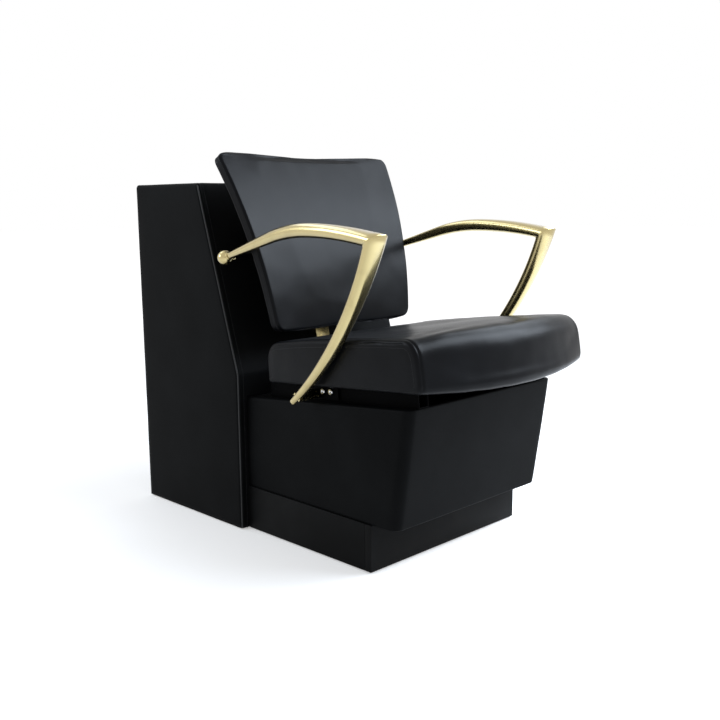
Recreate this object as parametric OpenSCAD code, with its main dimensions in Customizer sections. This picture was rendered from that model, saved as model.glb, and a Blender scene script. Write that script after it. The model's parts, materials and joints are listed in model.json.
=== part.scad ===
// Salon dryer chair: an upholstered seat and back with brass coloured arms, on an
// upholstered base that is joined to the box which carries a hood dryer.
// Millimetres, Z up, the sitter faces -Y, the floor is Z = 0.
// The pieces are drawn with Y = 0 at the lower front face of the dryer box.
// The last lines move the whole chair so that it stands centred on the origin.

/* [Dryer box] */
// Width of the box over its cover
box_w = 560; // [520:2:620]
// Height of the box above the floor
box_h = 840; // [800:2:880]
// Depth of the box at the floor
box_d = 406; // [380:2:450]
// Depth of the box at its top
box_top_d = 268; // [250:2:290]
// Height of the fold in the front of the box
knee_h = 386; // [376:2:396]
// Radius of the padded edges of the box
box_edge_r = 10; // [8:1:24]
// Thickness of the boards
board_t = 18; // [14:1:22]
// Thickness of the padded cover
cover_t = 4; // [2:0.5:6]
// Thickness of the rear service panel
rear_panel_t = 12; // [9:1:16]

/* [Seat base] */
// Width of the seat base over its cover
base_w = 510; // [500:2:530]
// Depth of the base at its lower edge
base_low_d = 489; // [470:1:505]
// Depth of the base at its upper edge
base_top_d = 527; // [515:1:540]
// Height of the upper edge of the base at the box
base_rear_h = 329; // [322:1:332]
// Height of the upper edge of the base at the front
base_front_h = 375; // [366:1:382]
// Radius of the front corners of the base
base_edge_r = 22; // [12:1:28]
// Width of the plinth
plinth_w = 518; // [508:2:530]
// Depth of the plinth
plinth_d = 420; // [390:2:450]
// Height of the top of the plinth
plinth_h = 109; // [90:1:120]
// Thickness of the floor glides
glide_t = 3; // [2:0.5:6]

/* [Seat] */
// Width of the seat cushion at its front corners
seat_front_w = 580; // [564:2:584]
// Width of the seat cushion at the rear
seat_rear_w = 524; // [500:2:536]
// Length of the side of the seat cushion
seat_d = 502; // [480:1:510]
// Gap from the dryer box to the seat cushion
seat_set = 95; // [85:1:105]
// Thickness of the seat cushion at its side seam
seat_t = 106; // [95:1:110]
// How far the front of the seat bows out
seat_bow = 46; // [20:1:60]
// Height of the front roll above the side seam
seat_roll = 15; // [6:1:18]
// Height of the seat rails
rail_h = 40; // [38:1:44]
// Width of the seat rails
rail_w = 30; // [26:1:36]
// Distance between the outer faces of the seat rails
rail_span = 450; // [436:2:464]
// Wall of the steel rails
rail_wall = 2; // [1.5:0.5:3]
// Thickness of the seat board
seat_board_t = 12; // [9:1:15]

/* [Back] */
// Width of the back cushion at its top
back_top_w = 568; // [540:2:576]
// Width of the back cushion at its bottom
back_low_w = 462; // [440:2:476]
// Height of the bottom of the back cushion
back_low_z = 490; // [486:1:496]
// Length of the back cushion along its curve
back_len = 452; // [430:2:466]
// Radius of the back's curve in side view
back_r = 1000; // [940:10:1100]
// Lean of the back at its bottom, degrees
back_lean = 6; // [5:0.5:7]
// Thickness of the back cushion at its edge
back_edge_t = 32; // [26:1:36]
// Thickness of the back cushion over its board
back_t = 56; // [52:1:58]
// How far the front of the back is hollowed at the middle
back_dish = 14; // [4:1:18]
// Corner radius of the back cushion
back_corner_r = 28; // [20:1:56]
// Radius of the edges of the back cushion
back_edge_r = 7; // [4:1:10]
// Thickness of the back board
back_board_t = 12; // [9:1:14]
// Width of the back board
back_board_w = 350; // [300:2:370]

/* [Back bar] */
// Width of the flat bar behind the back
bar_w = 44; // [40:1:54]
// Thickness of the flat bar
bar_t = 8; // [6:0.5:9]
// Lean of the flat bar, degrees
bar_lean = 13; // [12:0.5:14]
// Inner radius of the bend in the flat bar
bar_bend_r = 10; // [6:1:14]
// Height of the top of the flat bar
bar_top_z = 752; // [744:1:760]
// Height at which the cross bar is fixed to the flat bar
cross_z = 661; // [652:1:668]
// Diameter of the cross bar that joins the arms
cross_d = 20; // [18:0.5:22]
// Length of the cross bar
cross_len = 506; // [496:2:510]

/* [Arms] */
// Distance between the arm centre lines at the front
arm_span = 592; // [590:1:604]
// Height of the highest point of the arm's centre line
arm_peak_z = 732; // [724:1:738]
// Distance of that point from the dryer box
arm_peak_d = 275; // [265:1:285]
// Distance of the arm's front corner from the dryer box
arm_corner_d = 471; // [464:1:478]
// Radius of the arm behind its highest point
arm_rear_r = 500; // [460:10:510]
// Radius of the arm before its highest point
arm_front_r = 1100; // [1000:20:1300]
// Width of the arm at its front corner
arm_w = 52; // [46:1:56]
// Thickness of the arm at its front corner
arm_t = 31; // [28:1:33]
// Diameter of the arm at its rear end
arm_rear_dia = 13; // [11:0.5:15]
// Radius of the curve of the lower arm
arm_low_r = 790; // [740:10:900]
// Height of the lower end of the arm above the edge of the base
arm_low_lift = 8; // [4:1:14]
// Distance of the lower end of the arm from the dryer box
arm_low_d = 215; // [208:1:222]
// Diameter of the ball at the rear of the arm
ball_d = 36; // [32:1:40]

/* [Hood mount] */
// Bore of the post socket
post_bore = 32; // [26:0.5:36]
// Depth of the post socket
socket_depth = 90; // [60:1:110]

/* [Hidden] */

$fn = 64;
// Sides of a long flat curve and of a round screw head
fine_fn = 256;
head_fn = 32;
// A whole turn, degrees
turn = 360;
// Overrun of every cut
cut = 1;
// Clearance round a bolt or screw
bolt_gap = 0.2;
// How far a bolt or screw stays short of the end of its hole
tip_gap = 1;
// Clearance of a soft piece from its neighbours
soft_gap = 0.3;

// Wood screws of the panels: shank, head, length
screw_d = 4;
screw_head_d = 8;
screw_head_t = 2.4;
screw_len = 26;
// Bolts of the frame
bolt_d = 8;
bolt_head_d = 13;
bolt_head_t = 5.3;

// Box, derived
box_lean = atan((box_d - box_top_d) / (box_h - knee_h));
box_in_w = box_w - 2 * cover_t;
rear_set = 3;
rear_face = box_d - rear_set - rear_panel_t;
batten = 20;
rear_screws_up = 4;
grommet_d = 40;
grommet_flange = 6;
grommet_z = 90;
// Post socket, derived
post_y = (box_d - box_top_d + rear_face) / 2;
socket_wall = 4;
socket_floor = 4;
cable_hole = 16;
socket_d = post_bore + 2 * socket_wall;
flange_d = 110;
flange_t = 5;
flange_circle = 84;
socket_screws_n = 4;

// Base, derived
seat_slope = atan((base_front_h - base_rear_h) / base_top_d);
base_lean = atan((base_top_d - base_low_d) / (base_front_h - plinth_h));
base_in_w = base_w - 2 * cover_t;
block = 40;
glide_d = 28;
join_shares = [-0.32, -0.12, 0.12, 0.32];
join_z = (base_rear_h + plinth_h) / 2;

// Seat, derived. Places on the slope are measured from the box along the slope.
board_inset = 34;
rail_ends = [60, base_top_d];
seat_bolt_shares = [0.2, 0.84];
nose_d = 38;
nose_h = 52;
rear_roll = 44;
rear_drop_share = 0.14;
side_sink = 2.5;
sunk_share = 0.6;
bow_start = 300;
front_sag = 9;
seat_corner_r = 9;
front_y = (rail_h + soft_gap - front_sag) * sin(seat_slope)
    - (seat_set + seat_d + seat_bow) * cos(seat_slope);

// Back, derived. The curve of the back is an arc round back_mid, in Y and Z.
back_base_y = -97;
back_mid = [back_base_y + back_r * cos(back_lean), back_low_z - back_r * sin(back_lean)];
back_board_r = back_r - back_t - soft_gap;
back_board_angles = [12, 24];

// Back bar, derived. The middle plane of the bar passes through bar_point, in Y and Z.
bar_point = [4, 455];
foot_len = 300;
foot_bolt_shares = [0.52, 0.86];
foot_bolts_x = 24;
function bar_y(z) = bar_point[0] + (z - bar_point[1]) * tan(bar_lean);
bar_front = [-cos(bar_lean), sin(bar_lean)];
cross_c = [bar_y(cross_z), cross_z] + bar_front * (bar_t + cross_d) / 2;
bar_end = 24;
upper_bolt_z = bar_top_z - bar_end;
back_bolt_shares = [-0.26, 0.26];
// Clearance between two pieces of metal that meet
seat_gap = 0.1;
spacer_d = 18;

// Arms, derived
collar_d = 20;
collar_t = 10;
ball_flat = sqrt(pow(ball_d, 2) - pow(collar_d, 2)) / 2;
stud_d = 10;
stud_in = 28;
ball_x = cross_len / 2 + collar_t + ball_flat;
arm_corner = [-arm_corner_d, arm_peak_z - arm_front_r + sqrt(pow(arm_front_r, 2)
    - pow(arm_corner_d - arm_peak_d, 2))];
arm_front_angle = asin((arm_corner_d - arm_peak_d) / arm_front_r);
arm_rear_mid = [-arm_peak_d, arm_peak_z - arm_rear_r];
arm_rear_reach = cross_c - arm_rear_mid;
arm_rear_angle = atan2(arm_rear_reach[0], arm_rear_reach[1]) - acos(arm_rear_r / norm(arm_rear_reach));
arm_rear_touch = arm_rear_mid + arm_rear_r * [sin(arm_rear_angle), cos(arm_rear_angle)];
ball_cut = sqrt(pow(ball_d, 2) - pow(arm_rear_dia, 2)) / 2;
arm_tip = [-arm_low_d, base_top_z(0, -arm_low_d) + arm_low_lift / cos(seat_slope)];
arm_low_chord = arm_tip - arm_corner;
arm_low_half = asin(norm(arm_low_chord) / 2 / arm_low_r);
arm_low_mid_angle = atan2(arm_low_chord[0], -arm_low_chord[1]);
arm_low_a0 = arm_low_mid_angle - arm_low_half;
arm_low_a1 = arm_low_mid_angle + arm_low_half;
arm_tip_w = 18;
arm_tip_t = 16;
// The upper arm widens with this power of its length and is full thick at thick_share of it
arm_flare = 1.2;
thick_share = 0.65;
// This share of the lower arm's taper is even, the rest lies near the corner
taper_share = 0.76;
// Stations along each part of the arm, and points round it
arm_straight_n = 5;
arm_rear_n = 5;
arm_front_n = 4;
arm_low_n = 9;
arm_round_n = 20;
// The lug joins the lower arm at this share of its curve
lug_share = 0.955;
lug_t = 6;
lug_w = 22;
foot_plate_t = 5;
foot_plate = [80, 32];
foot_plate_lift = 5;
foot_plate_ahead = 40;
foot_plate_place = arm_low_d / cos(seat_slope) + foot_plate_ahead;
arm_bolt_d = 6;
arm_bolt_head_d = 10;
arm_bolt_head_t = 5;
arm_bolt_len = foot_plate_t + rail_w / 2;
arm_bolt_shares = [-0.08, 0.24];
arm_bolt_lift = 24;

// Helpers

// Lays a drawing of the side view, in Y and Z, across the chair
module side_view(w) {
    rotate([90, 0, 90]) linear_extrude(w, center = true) children();
}

// Its children at the sitter's left, and mirrored at the right
module both_sides() {
    children();
    mirror([1, 0, 0]) children();
}

// The sloping plane of the base's upper edge, raised by lift
module on_slope(lift = 0) {
    translate([0, 0, base_rear_h]) rotate([-seat_slope, 0, 0]) translate([0, 0, lift]) children();
}

// A frame on the middle plane of the flat bar at height z, its Z pointing to the front
module on_bar(z) {
    translate([0, bar_y(z), z]) rotate([90 - bar_lean, 0, 0]) children();
}

// A quarter circle of points round c that starts at the angle from
corner_steps = 6;
function corner(c, r, from, steps = corner_steps) = [for (i = [0 : steps])
    let (a = from + 90 * i / steps)
    c + r * [cos(a), sin(a)]];

// A rectangle with round corners at its lower edge, from its lower left corner
module rounded_rect(w, h, r) {
    polygon(concat(corner([r, r], r, 180), corner([w - r, r], r, 270), [[w, h], [0, h]]));
}

// A screw or bolt along +Z, its head below Z = 0
module bolt(d, len, head_d, head_t, sides = 6) {
    cylinder(d = d, h = len);
    translate([0, 0, -head_t]) cylinder(d = head_d, h = head_t, $fn = sides);
}

// A closed skin through rings of points, with a fan on each end
module loft(rings) {
    m = len(rings[0]);
    n = len(rings);
    points = concat([for (r = rings, p = r) p], [middle(rings[0]), middle(rings[n - 1])]);
    sides = [for (i = [0 : n - 2], j = [0 : m - 1])
        let (a = i * m + j, b = i * m + (j + 1) % m)
        each [[a, b + m, b], [a, a + m, b + m]]];
    ends = [for (j = [0 : m - 1])
        let (k = (j + 1) % m)
        each [[n * m, j, k], [n * m + 1, (n - 1) * m + k, (n - 1) * m + j]]];
    polyhedron(points, concat(sides, ends));
}

function middle(ring) = [for (k = [0 : 2]) sum([for (p = ring) p[k]]) / len(ring)];
function sum(list) = [for (v = list) 1] * list;
function ease(t) = let (s = min(1, max(0, t))) s * s * (3 - 2 * s);

// Dryer box

// Height of the fold, and depth of the slanted front at height z, on a face drawn in by d
function fold_z(d) = knee_h - d * tan(box_lean / 2);
function slant_y(d, z) = d / cos(box_lean) + (z - knee_h) * tan(box_lean);

// Depth at height z of a point that lies y behind the front at the floor
function box_y(y, z) = y + max(0, z - fold_z(y)) * tan(box_lean);

// One level of the box drawn in by d: round at the front corners, flat at the rear
function box_ring(d, z, half_w, rear) = let (
        r = box_edge_r - d,
        x = box_w / 2 - d - r,
        front = concat(corner([-x, d + r], r, 180), corner([x, d + r], r, 270)))
    concat(
        [[-half_w, rear, z == undef ? fold_z(rear) : z]],
        [for (p = front)
            let (level = z == undef ? fold_z(p[1]) : z)
            [max(-half_w, min(half_w, p[0])), box_y(p[1], level), level]],
        [[half_w, rear, z == undef ? fold_z(rear) : z]]);

// The body of the box drawn in by d, from the height low to the depth rear
module box_body(d, low, rear) {
    r = box_edge_r - d;
    half_w = box_w / 2 - d;
    shoulder = box_h - d - r;
    loft(concat(
        [box_ring(d, low, half_w, rear), box_ring(d, undef, half_w, rear)],
        [for (i = [0 : corner_steps])
            let (a = 90 * i / corner_steps)
            box_ring(d, shoulder + r * sin(a), half_w - r * (1 - cos(a)), rear)]));
}

// Where a board of the side view runs between the side panels
module between_box_sides() {
    side_view(box_in_w - 2 * board_t) children();
}

module box_cover() {
    color("#17181a") difference() {
        box_body(0, glide_t, box_d);
        box_body(cover_t, glide_t - cut, box_d + cut);
        translate([0, post_y, box_h - cover_t - cut])
            cylinder(d = flange_d + 2 * bolt_gap, h = cover_t + 2 * cut);
        join_places() cylinder(d = screw_d + bolt_gap, h = board_t + cover_t);
    }
}

module box_side_panels() {
    color("#8a6f4d") intersection() {
        box_body(cover_t, glide_t, rear_face);
        both_sides() translate([box_in_w / 2 - board_t, 0, 0]) cube([board_t, box_d, box_h]);
    }
}

module box_bottom_panel() {
    color("#8a6f4d") between_box_sides()
        translate([cover_t, glide_t]) square([rear_face - cover_t, board_t]);
}

module box_front_lower_panel() {
    inner = cover_t + board_t;
    low = glide_t + board_t;
    color("#8a6f4d") difference() {
        between_box_sides()
            polygon([[cover_t, low], [cover_t, fold_z(cover_t)], [inner, fold_z(inner)], [inner, low]]);
        join_places() cylinder(d = screw_d + bolt_gap, h = screw_len * 2);
    }
}

module box_front_upper_panel() {
    inner = cover_t + board_t;
    top = box_h - inner;
    color("#8a6f4d") between_box_sides()
        polygon([[cover_t, fold_z(cover_t)], [slant_y(cover_t, top), top], [slant_y(inner, top), top],
            [inner, fold_z(inner)]]);
}

module box_top_panel() {
    top = box_h - cover_t;
    low = top - board_t;
    color("#8a6f4d") difference() {
        between_box_sides()
            polygon([[slant_y(cover_t, low), low], [slant_y(cover_t, top), top], [rear_face, top],
                [rear_face, low]]);
        translate([0, post_y, low - cut]) cylinder(d = socket_d + bolt_gap, h = board_t + 2 * cut);
        socket_screw_places() cylinder(d = screw_d + bolt_gap, h = screw_len);
    }
}

module box_battens() {
    low = glide_t + board_t;
    high = box_h - cover_t - board_t;
    color("#b08d5f") difference() {
        both_sides() translate([box_in_w / 2 - board_t - batten, rear_face - batten, low])
            cube([batten, batten, high - low]);
        rear_screw_places() cylinder(d = screw_d + bolt_gap, h = screw_len);
    }
}

module box_rear_panel() {
    color("#202224") difference() {
        intersection() {
            box_body(cover_t + soft_gap, glide_t, box_d - rear_set);
            translate([-box_w / 2, rear_face, 0]) cube([box_w, rear_panel_t, box_h]);
        }
        rear_screw_places() cylinder(d = screw_d + bolt_gap, h = screw_len);
        grommet_place() cylinder(d = grommet_d + bolt_gap, h = 4 * rear_panel_t, center = true);
    }
}

// The screws of the rear panel go into the battens, heads on its outer face
module rear_screw_places() {
    low = glide_t + 3 * board_t;
    step = (box_h - cover_t - 3 * board_t - low) / (rear_screws_up - 1);
    both_sides() for (i = [0 : rear_screws_up - 1])
        translate([(box_in_w - batten) / 2 - board_t, box_d - rear_set, low + step * i])
            rotate([90, 0, 0]) children();
}

module rear_panel_screws() {
    color("#3a3c3e") rear_screw_places() bolt(screw_d, screw_len, screw_head_d, screw_head_t, head_fn);
}

module grommet_place() {
    translate([0, box_d - rear_set, glide_t + grommet_z]) rotate([90, 0, 0]) children();
}

module cable_grommet() {
    wall = grommet_flange / 2;
    hole = grommet_d / 2 - wall;
    color("#101010") grommet_place() rotate_extrude()
        polygon([[hole, -screw_head_t], [grommet_d / 2 + grommet_flange, -screw_head_t],
            [grommet_d / 2 + grommet_flange, 0], [grommet_d / 2, 0], [grommet_d / 2, rear_panel_t],
            [hole, rear_panel_t]]);
}

module post_socket() {
    low = flange_t - socket_depth;
    color("#303234") difference() {
        translate([0, post_y, box_h - cover_t]) rotate_extrude()
            polygon([[cable_hole / 2, low], [socket_d / 2, low], [socket_d / 2, 0], [flange_d / 2, 0],
                [flange_d / 2, flange_t / 2], [flange_d / 2 - flange_t / 2, flange_t],
                [post_bore / 2, flange_t],
                [post_bore / 2, low + socket_floor], [cable_hole / 2, low + socket_floor]]);
        socket_screw_places() translate([0, 0, -cut]) cylinder(d = screw_d + bolt_gap, h = screw_len);
    }
}

// The screws of the post socket point down, heads on its flange
module socket_screw_places() {
    translate([0, post_y, box_h - cover_t + flange_t]) for (i = [0 : socket_screws_n - 1])
        rotate([0, 0, (i + 0.5) * turn / socket_screws_n]) translate([flange_circle / 2, 0, 0])
            rotate([180, 0, 0]) children();
}

module socket_screws() {
    color("#6d7072") socket_screw_places()
        bolt(screw_d, flange_t + board_t - tip_gap, screw_head_d, screw_head_t, head_fn);
}

// Seat base and plinth

function base_front_y(d, z) = -(base_low_d + (z - plinth_h) * tan(base_lean)) + d / cos(base_lean);
function base_top_z(t, y) = base_rear_h - t / cos(seat_slope) - y * tan(seat_slope);
// Height where the front drawn in by d meets the top lowered by t
function base_corner_z(d, t) = base_top_z(t, d / cos(base_lean) + plinth_h * tan(base_lean) - base_low_d)
    / (1 - tan(seat_slope) * tan(base_lean));

// The body of the base drawn in by d at front and sides, lowered by t, raised at the floor by low
module base_body(d, t, low, rear) {
    w = base_w - 2 * d;
    z0 = plinth_h + low;
    z1 = base_corner_z(d, t);
    intersection() {
        side_view(base_w)
            polygon([[rear, z0], [base_front_y(d, z0), z0],
                [base_front_y(d, z1), z1], [rear, base_top_z(t, rear)]]);
        translate([0, -base_low_d, plinth_h]) rotate([base_lean, 0, 0])
            translate([-w / 2, d, -base_front_h]) linear_extrude(3 * base_front_h)
                rounded_rect(w, 2 * base_top_d, base_edge_r - d);
    }
}

module base_cover() {
    color("#1a1b1d") difference() {
        base_body(0, 0, 0, 0);
        base_body(cover_t, -cut, -cut, cut);
    }
}

module base_side_panels() {
    color("#8a6f4d") intersection() {
        base_body(cover_t, 0, 0, 0);
        both_sides() translate([base_in_w / 2 - board_t, -2 * base_top_d, 0])
            cube([board_t, 2 * base_top_d, base_front_h + board_t]);
    }
}

module between_base_sides() {
    side_view(base_in_w - 2 * board_t) children();
}

module base_bottom_panel() {
    inner = cover_t + board_t;
    top = plinth_h + board_t;
    color("#8a6f4d") between_base_sides()
        polygon([[0, plinth_h], [base_front_y(inner, plinth_h), plinth_h],
            [base_front_y(inner, top), top], [0, top]]);
}

module base_front_panel() {
    inner = cover_t + board_t;
    color("#8a6f4d") intersection() {
        base_body(cover_t, 0, 0, 0);
        between_base_sides()
            polygon([[base_front_y(0, plinth_h), plinth_h], [base_front_y(0, base_front_h), base_front_h],
                [base_front_y(inner, base_front_h), base_front_h],
                [base_front_y(inner, plinth_h), plinth_h]]);
    }
}

module base_top_panel() {
    inner = cover_t + board_t;
    high = base_corner_z(inner, 0);
    low = base_corner_z(inner, board_t);
    color("#232426") difference() {
        between_base_sides()
            polygon([[0, base_top_z(0, 0)],
                [base_front_y(inner, high), high], [base_front_y(inner, low), low],
                [0, base_top_z(board_t, 0)]]);
        seat_bolt_holes();
    }
}

module base_rear_rail() {
    low = plinth_h + board_t;
    color("#b08d5f") difference() {
        between_base_sides()
            polygon([[-board_t, low], [-board_t, base_top_z(board_t, -board_t)],
                [0, base_top_z(board_t, 0)], [0, low]]);
        join_places() cylinder(d = screw_d + bolt_gap, h = 2 * screw_len);
    }
}

// The screws that join base and box start inside the box and point to the front
module join_places() {
    for (share = join_shares)
        translate([share * base_in_w, cover_t + board_t, join_z]) rotate([90, 0, 0]) children();
}

module joining_screws() {
    len = cover_t + 2 * board_t - tip_gap;
    color("#6d7072") join_places() bolt(screw_d, len, screw_head_d, screw_head_t, head_fn);
}

module plinth_front_board() {
    color("#141516") translate([-plinth_w / 2, -plinth_d, glide_t])
        cube([plinth_w, board_t, plinth_h - glide_t]);
}

module plinth_side_boards() {
    color("#141516") both_sides() translate([plinth_w / 2 - board_t, board_t - plinth_d, glide_t])
        cube([board_t, plinth_d - board_t, plinth_h - glide_t]);
}

module plinth_corner_blocks() {
    color("#b08d5f") both_sides() for (y = [board_t - plinth_d, -block])
        translate([plinth_w / 2 - board_t - block, y, glide_t]) cube([block, block, plinth_h - glide_t]);
}

module floor_glides() {
    plinth_x = (plinth_w - block) / 2 - board_t;
    box_x = box_in_w / 2 - board_t - block;
    color("#2b2b2b") both_sides() {
        for (y = [board_t + block / 2 - plinth_d, -block / 2])
            translate([plinth_x, y, 0]) cylinder(d = glide_d, h = glide_t);
        for (y = [cover_t + block, rear_face - block])
            translate([box_x, y, 0]) cylinder(d = glide_d, h = glide_t);
    }
}

// Seat cushion, its board and the rails under it

function seat_half_w(s) = (seat_rear_w + (seat_front_w - seat_rear_w) * (s - seat_set) / seat_d) / 2;

module seat_rails() {
    len = rail_ends[1] - rail_ends[0];
    color("#1d1e20") difference() {
        on_slope() both_sides() translate([rail_span / 2 - rail_w, -rail_ends[1], 0]) difference() {
            cube([rail_w, len, rail_h]);
            translate([rail_wall, -cut, rail_wall])
                cube([rail_w - 2 * rail_wall, len + 2 * cut, rail_h - 2 * rail_wall]);
        }
        seat_bolt_holes();
        arm_bolt_holes();
    }
}

module seat_bolt_places() {
    on_slope(-board_t) both_sides() for (share = seat_bolt_shares)
        translate([(rail_span - rail_w) / 2, share * (rail_ends[0] - rail_ends[1]) - rail_ends[0], 0])
            children();
}

module seat_bolt_holes() {
    seat_bolt_places() translate([0, 0, -cut]) cylinder(d = bolt_d + 2 * bolt_gap, h = 2 * rail_h);
}

module seat_bolts() {
    len = board_t + rail_h + seat_board_t - tip_gap;
    color("#6d7072") seat_bolt_places() bolt(bolt_d, len, bolt_head_d, bolt_head_t);
}

// Outline of the seat board, grown by g
module seat_board_shape(g = 0) {
    s0 = seat_set + board_inset;
    s1 = seat_set + seat_d - board_inset;
    w0 = seat_half_w(s0) - board_inset + g;
    w1 = seat_half_w(s1) - board_inset + g;
    polygon([[-w0, g - s0], [-w1, -s1 - g], [w1, -s1 - g], [w0, g - s0]]);
}

module seat_board() {
    color("#b08d5f") difference() {
        on_slope(rail_h) linear_extrude(seat_board_t) seat_board_shape();
        seat_bolt_holes();
        foot_bolt_places() cylinder(d = bolt_d + 2 * bolt_gap, h = 3 * seat_board_t);
    }
}

// Height of the seat's top seam over its underside at the place s
function seat_top(s) = seat_t * (1 - rear_drop_share * pow(max(0, 1 - (s - seat_set) / seat_d), 3));

// Side outline of the seat, place and height: underside to the front, front, roll, top, rear
seat_steps = 5;
seat_top_steps = 9;
seat_end = seat_set + seat_d;
seat_top_from = seat_end - nose_d;
seat_top_to = seat_set + rear_roll;
function seat_outline() = concat(
    [for (i = [0 : seat_steps]) [seat_set + seat_d * i / seat_steps, 0]],
    [[seat_end, (seat_t - nose_h) / 2]],
    [for (i = [0 : seat_steps])
        let (a = 90 * i / seat_steps)
        [seat_top_from + nose_d * cos(a), seat_t - nose_h * (1 - sin(a))]],
    [for (i = [1 : seat_top_steps])
        let (s = seat_top_from + (seat_top_to - seat_top_from) * i / seat_top_steps)
        [s, seat_top(s)]],
    [for (i = [1 : seat_steps])
        let (a = 90 * i / seat_steps)
        [seat_top_to - rear_roll * sin(a), seat_top(seat_top_to) - rear_roll * (1 - cos(a))]]);

// The outline drawn in by d
function drawn_in(line, d) = [for (j = [0 : len(line) - 1])
    let (n = len(line), t = line[(j + 1) % n] - line[(j + n - 1) % n])
    line[j] + d * [-t[1], t[0]] / norm(t)];

// Puts a point of the outline at x, bows it to the front, crowns the top and lets the front sag
function seat_point(p, x, w) = let (
        v = 1 - pow(x / w, 2),
        full = 1 - pow(x / w, 4),
        bow = seat_bow * ease((p[0] - bow_start) / (seat_end - bow_start)) * v,
        crown = seat_roll * ease((p[0] - bow_start) / (seat_top_from - bow_start)),
        sag = front_sag * ease((p[0] + bow - seat_end + board_inset) / board_inset))
    [x, -p[0] - bow, p[1] + crown * pow(p[1] / seat_t, 2) * full - sag * v * (1 - p[1] / seat_t)];

// Rings from side to side. The inner ones are at shares of the half width.
seat_x_shares = [0.86, 0.6, 0.3, 0, -0.3, -0.6, -0.86];
round_steps = 3;
function seat_side_ring(side, a) = [for (p = drawn_in(seat_outline(), seat_corner_r * (1 - sin(a))))
    let (w = seat_half_w(p[0]))
    seat_point(p, side * (w - seat_corner_r * (1 - cos(a))), w)];
function seat_sunk_ring(side) = let (
        line = seat_outline(),
        mid = sum(line) / len(line))
    [for (p = line)
        let (q = mid + (p - mid) * sunk_share, w = seat_half_w(q[0]))
        seat_point(q, side * (w - side_sink), w)];
function seat_inner_ring(share) = [for (p = seat_outline())
    let (w = seat_half_w(p[0]))
    seat_point(p, share * (w - seat_corner_r), w)];
function seat_rings() = concat(
    [seat_sunk_ring(1)],
    [for (i = [0 : round_steps]) seat_side_ring(1, 90 * i / round_steps)],
    [for (share = seat_x_shares) seat_inner_ring(share)],
    [for (i = [round_steps : -1 : 0]) seat_side_ring(-1, 90 * i / round_steps)],
    [seat_sunk_ring(-1)]);

module seat_cushion() {
    color("#26282b") difference() {
        on_slope(rail_h + soft_gap) loft(seat_rings());
        on_slope(rail_h - cut) linear_extrude(seat_board_t + soft_gap + cut) seat_board_shape(soft_gap);
    }
}

// Back bar and cross bar

// The foot of the flat bar lies under the seat board, its top face level with the rails
foot_rise = base_rear_h + (rail_h - bar_t / 2) / cos(seat_slope);
foot_y = (bar_point[0] + (foot_rise - bar_point[1]) * tan(bar_lean))
    / (1 + tan(bar_lean) * tan(seat_slope));
foot_z = foot_rise - foot_y * tan(seat_slope);
bar_meet = [foot_y, foot_z];
foot_dir = [-cos(seat_slope), sin(seat_slope)];
rise_dir = [sin(bar_lean), cos(bar_lean)];
bend_half = acos(foot_dir * rise_dir) / 2;
bend_run = (bar_bend_r + bar_t / 2) / tan(bend_half);
bend_mid = bar_meet
    + (foot_dir + rise_dir) / norm(foot_dir + rise_dir) * (bar_bend_r + bar_t / 2) / sin(bend_half);
bend_angles = [270 - seat_slope, 360 - bar_lean];
bend_steps = 12;

// One side of the bend, from the foot to the rise
function bend_arc(r) = [for (i = [0 : bend_steps])
    let (a = bend_angles[0] + (bend_angles[1] - bend_angles[0]) * i / bend_steps)
    bend_mid + r * [cos(a), sin(a)]];

module bar_outline() {
    inner = bend_arc(bar_bend_r);
    outer = bend_arc(bar_bend_r + bar_t);
    rise = rise_dir * ((bar_top_z - foot_z) / cos(bar_lean) - bend_run);
    foot = foot_dir * foot_len;
    polygon(concat([outer[0] + foot], outer, [outer[bend_steps] + rise, inner[bend_steps] + rise],
        [for (i = [bend_steps : -1 : 0]) inner[i]], [inner[0] + foot]));
}

module foot_bolt_places() {
    on_slope(rail_h - bar_t) for (side = [-1, 1], share = foot_bolt_shares)
        translate([side * foot_bolts_x / 2, -share * foot_len, 0]) children();
}

module back_bar() {
    color("#c9b36a") difference() {
        side_view(bar_w) bar_outline();
        foot_bolt_places() translate([0, 0, -cut]) cylinder(d = bolt_d + 2 * bolt_gap, h = 3 * bar_t);
        on_bar(upper_bolt_z) cylinder(d = bolt_d + 2 * bolt_gap, h = 3 * bar_t, center = true);
        on_bar(cross_z) cylinder(d = bolt_d + 2 * bolt_gap, h = 3 * bar_t, center = true);
    }
}

module back_bar_bolts() {
    color("#6d7072") foot_bolt_places()
        bolt(bolt_d, bar_t + seat_board_t - tip_gap, bolt_head_d, bolt_head_t);
}

// The cross bar runs before the flat bar and touches it
module on_cross() {
    on_bar(cross_z) translate([0, 0, (bar_t + cross_d) / 2]) children();
}

module cross_bolt_places() {
    on_cross() for (share = back_bolt_shares)
        translate([share * back_board_w, 0, 0]) children();
}

module back_cross_bar() {
    color("#1d1e20") difference() {
        on_cross() rotate([0, 90, 0]) cylinder(d = cross_d, h = cross_len, center = true);
        cross_bolt_places() cylinder(d = bolt_d + 2 * bolt_gap, h = 2 * cross_d, center = true);
        on_cross() cylinder(d = bolt_d + 2 * bolt_gap, h = 2 * cross_d, center = true);
        both_sides() on_cross() translate([cross_len / 2 - stud_in, 0, 0])
            rotate([0, 90, 0]) cylinder(d = stud_d + bolt_gap, h = 2 * stud_in);
    }
}

// Distance along the bar's front normal, from the point p, to the rear of the back board
function to_board(p) = let (v = p - back_mid, b = v * bar_front, r = back_board_r - back_board_t)
    sqrt(b * b + r * r - v * v) - b;
cross_to_board = to_board(cross_c);
upper_to_board = to_board([bar_y(upper_bolt_z), upper_bolt_z]);

// The space behind the back board's rear face
module behind_board() {
    translate([0, back_mid[0], back_mid[1]]) rotate([0, 90, 0])
        cylinder(r = back_board_r - back_board_t - seat_gap, h = box_w, center = true, $fn = fine_fn);
}

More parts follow.
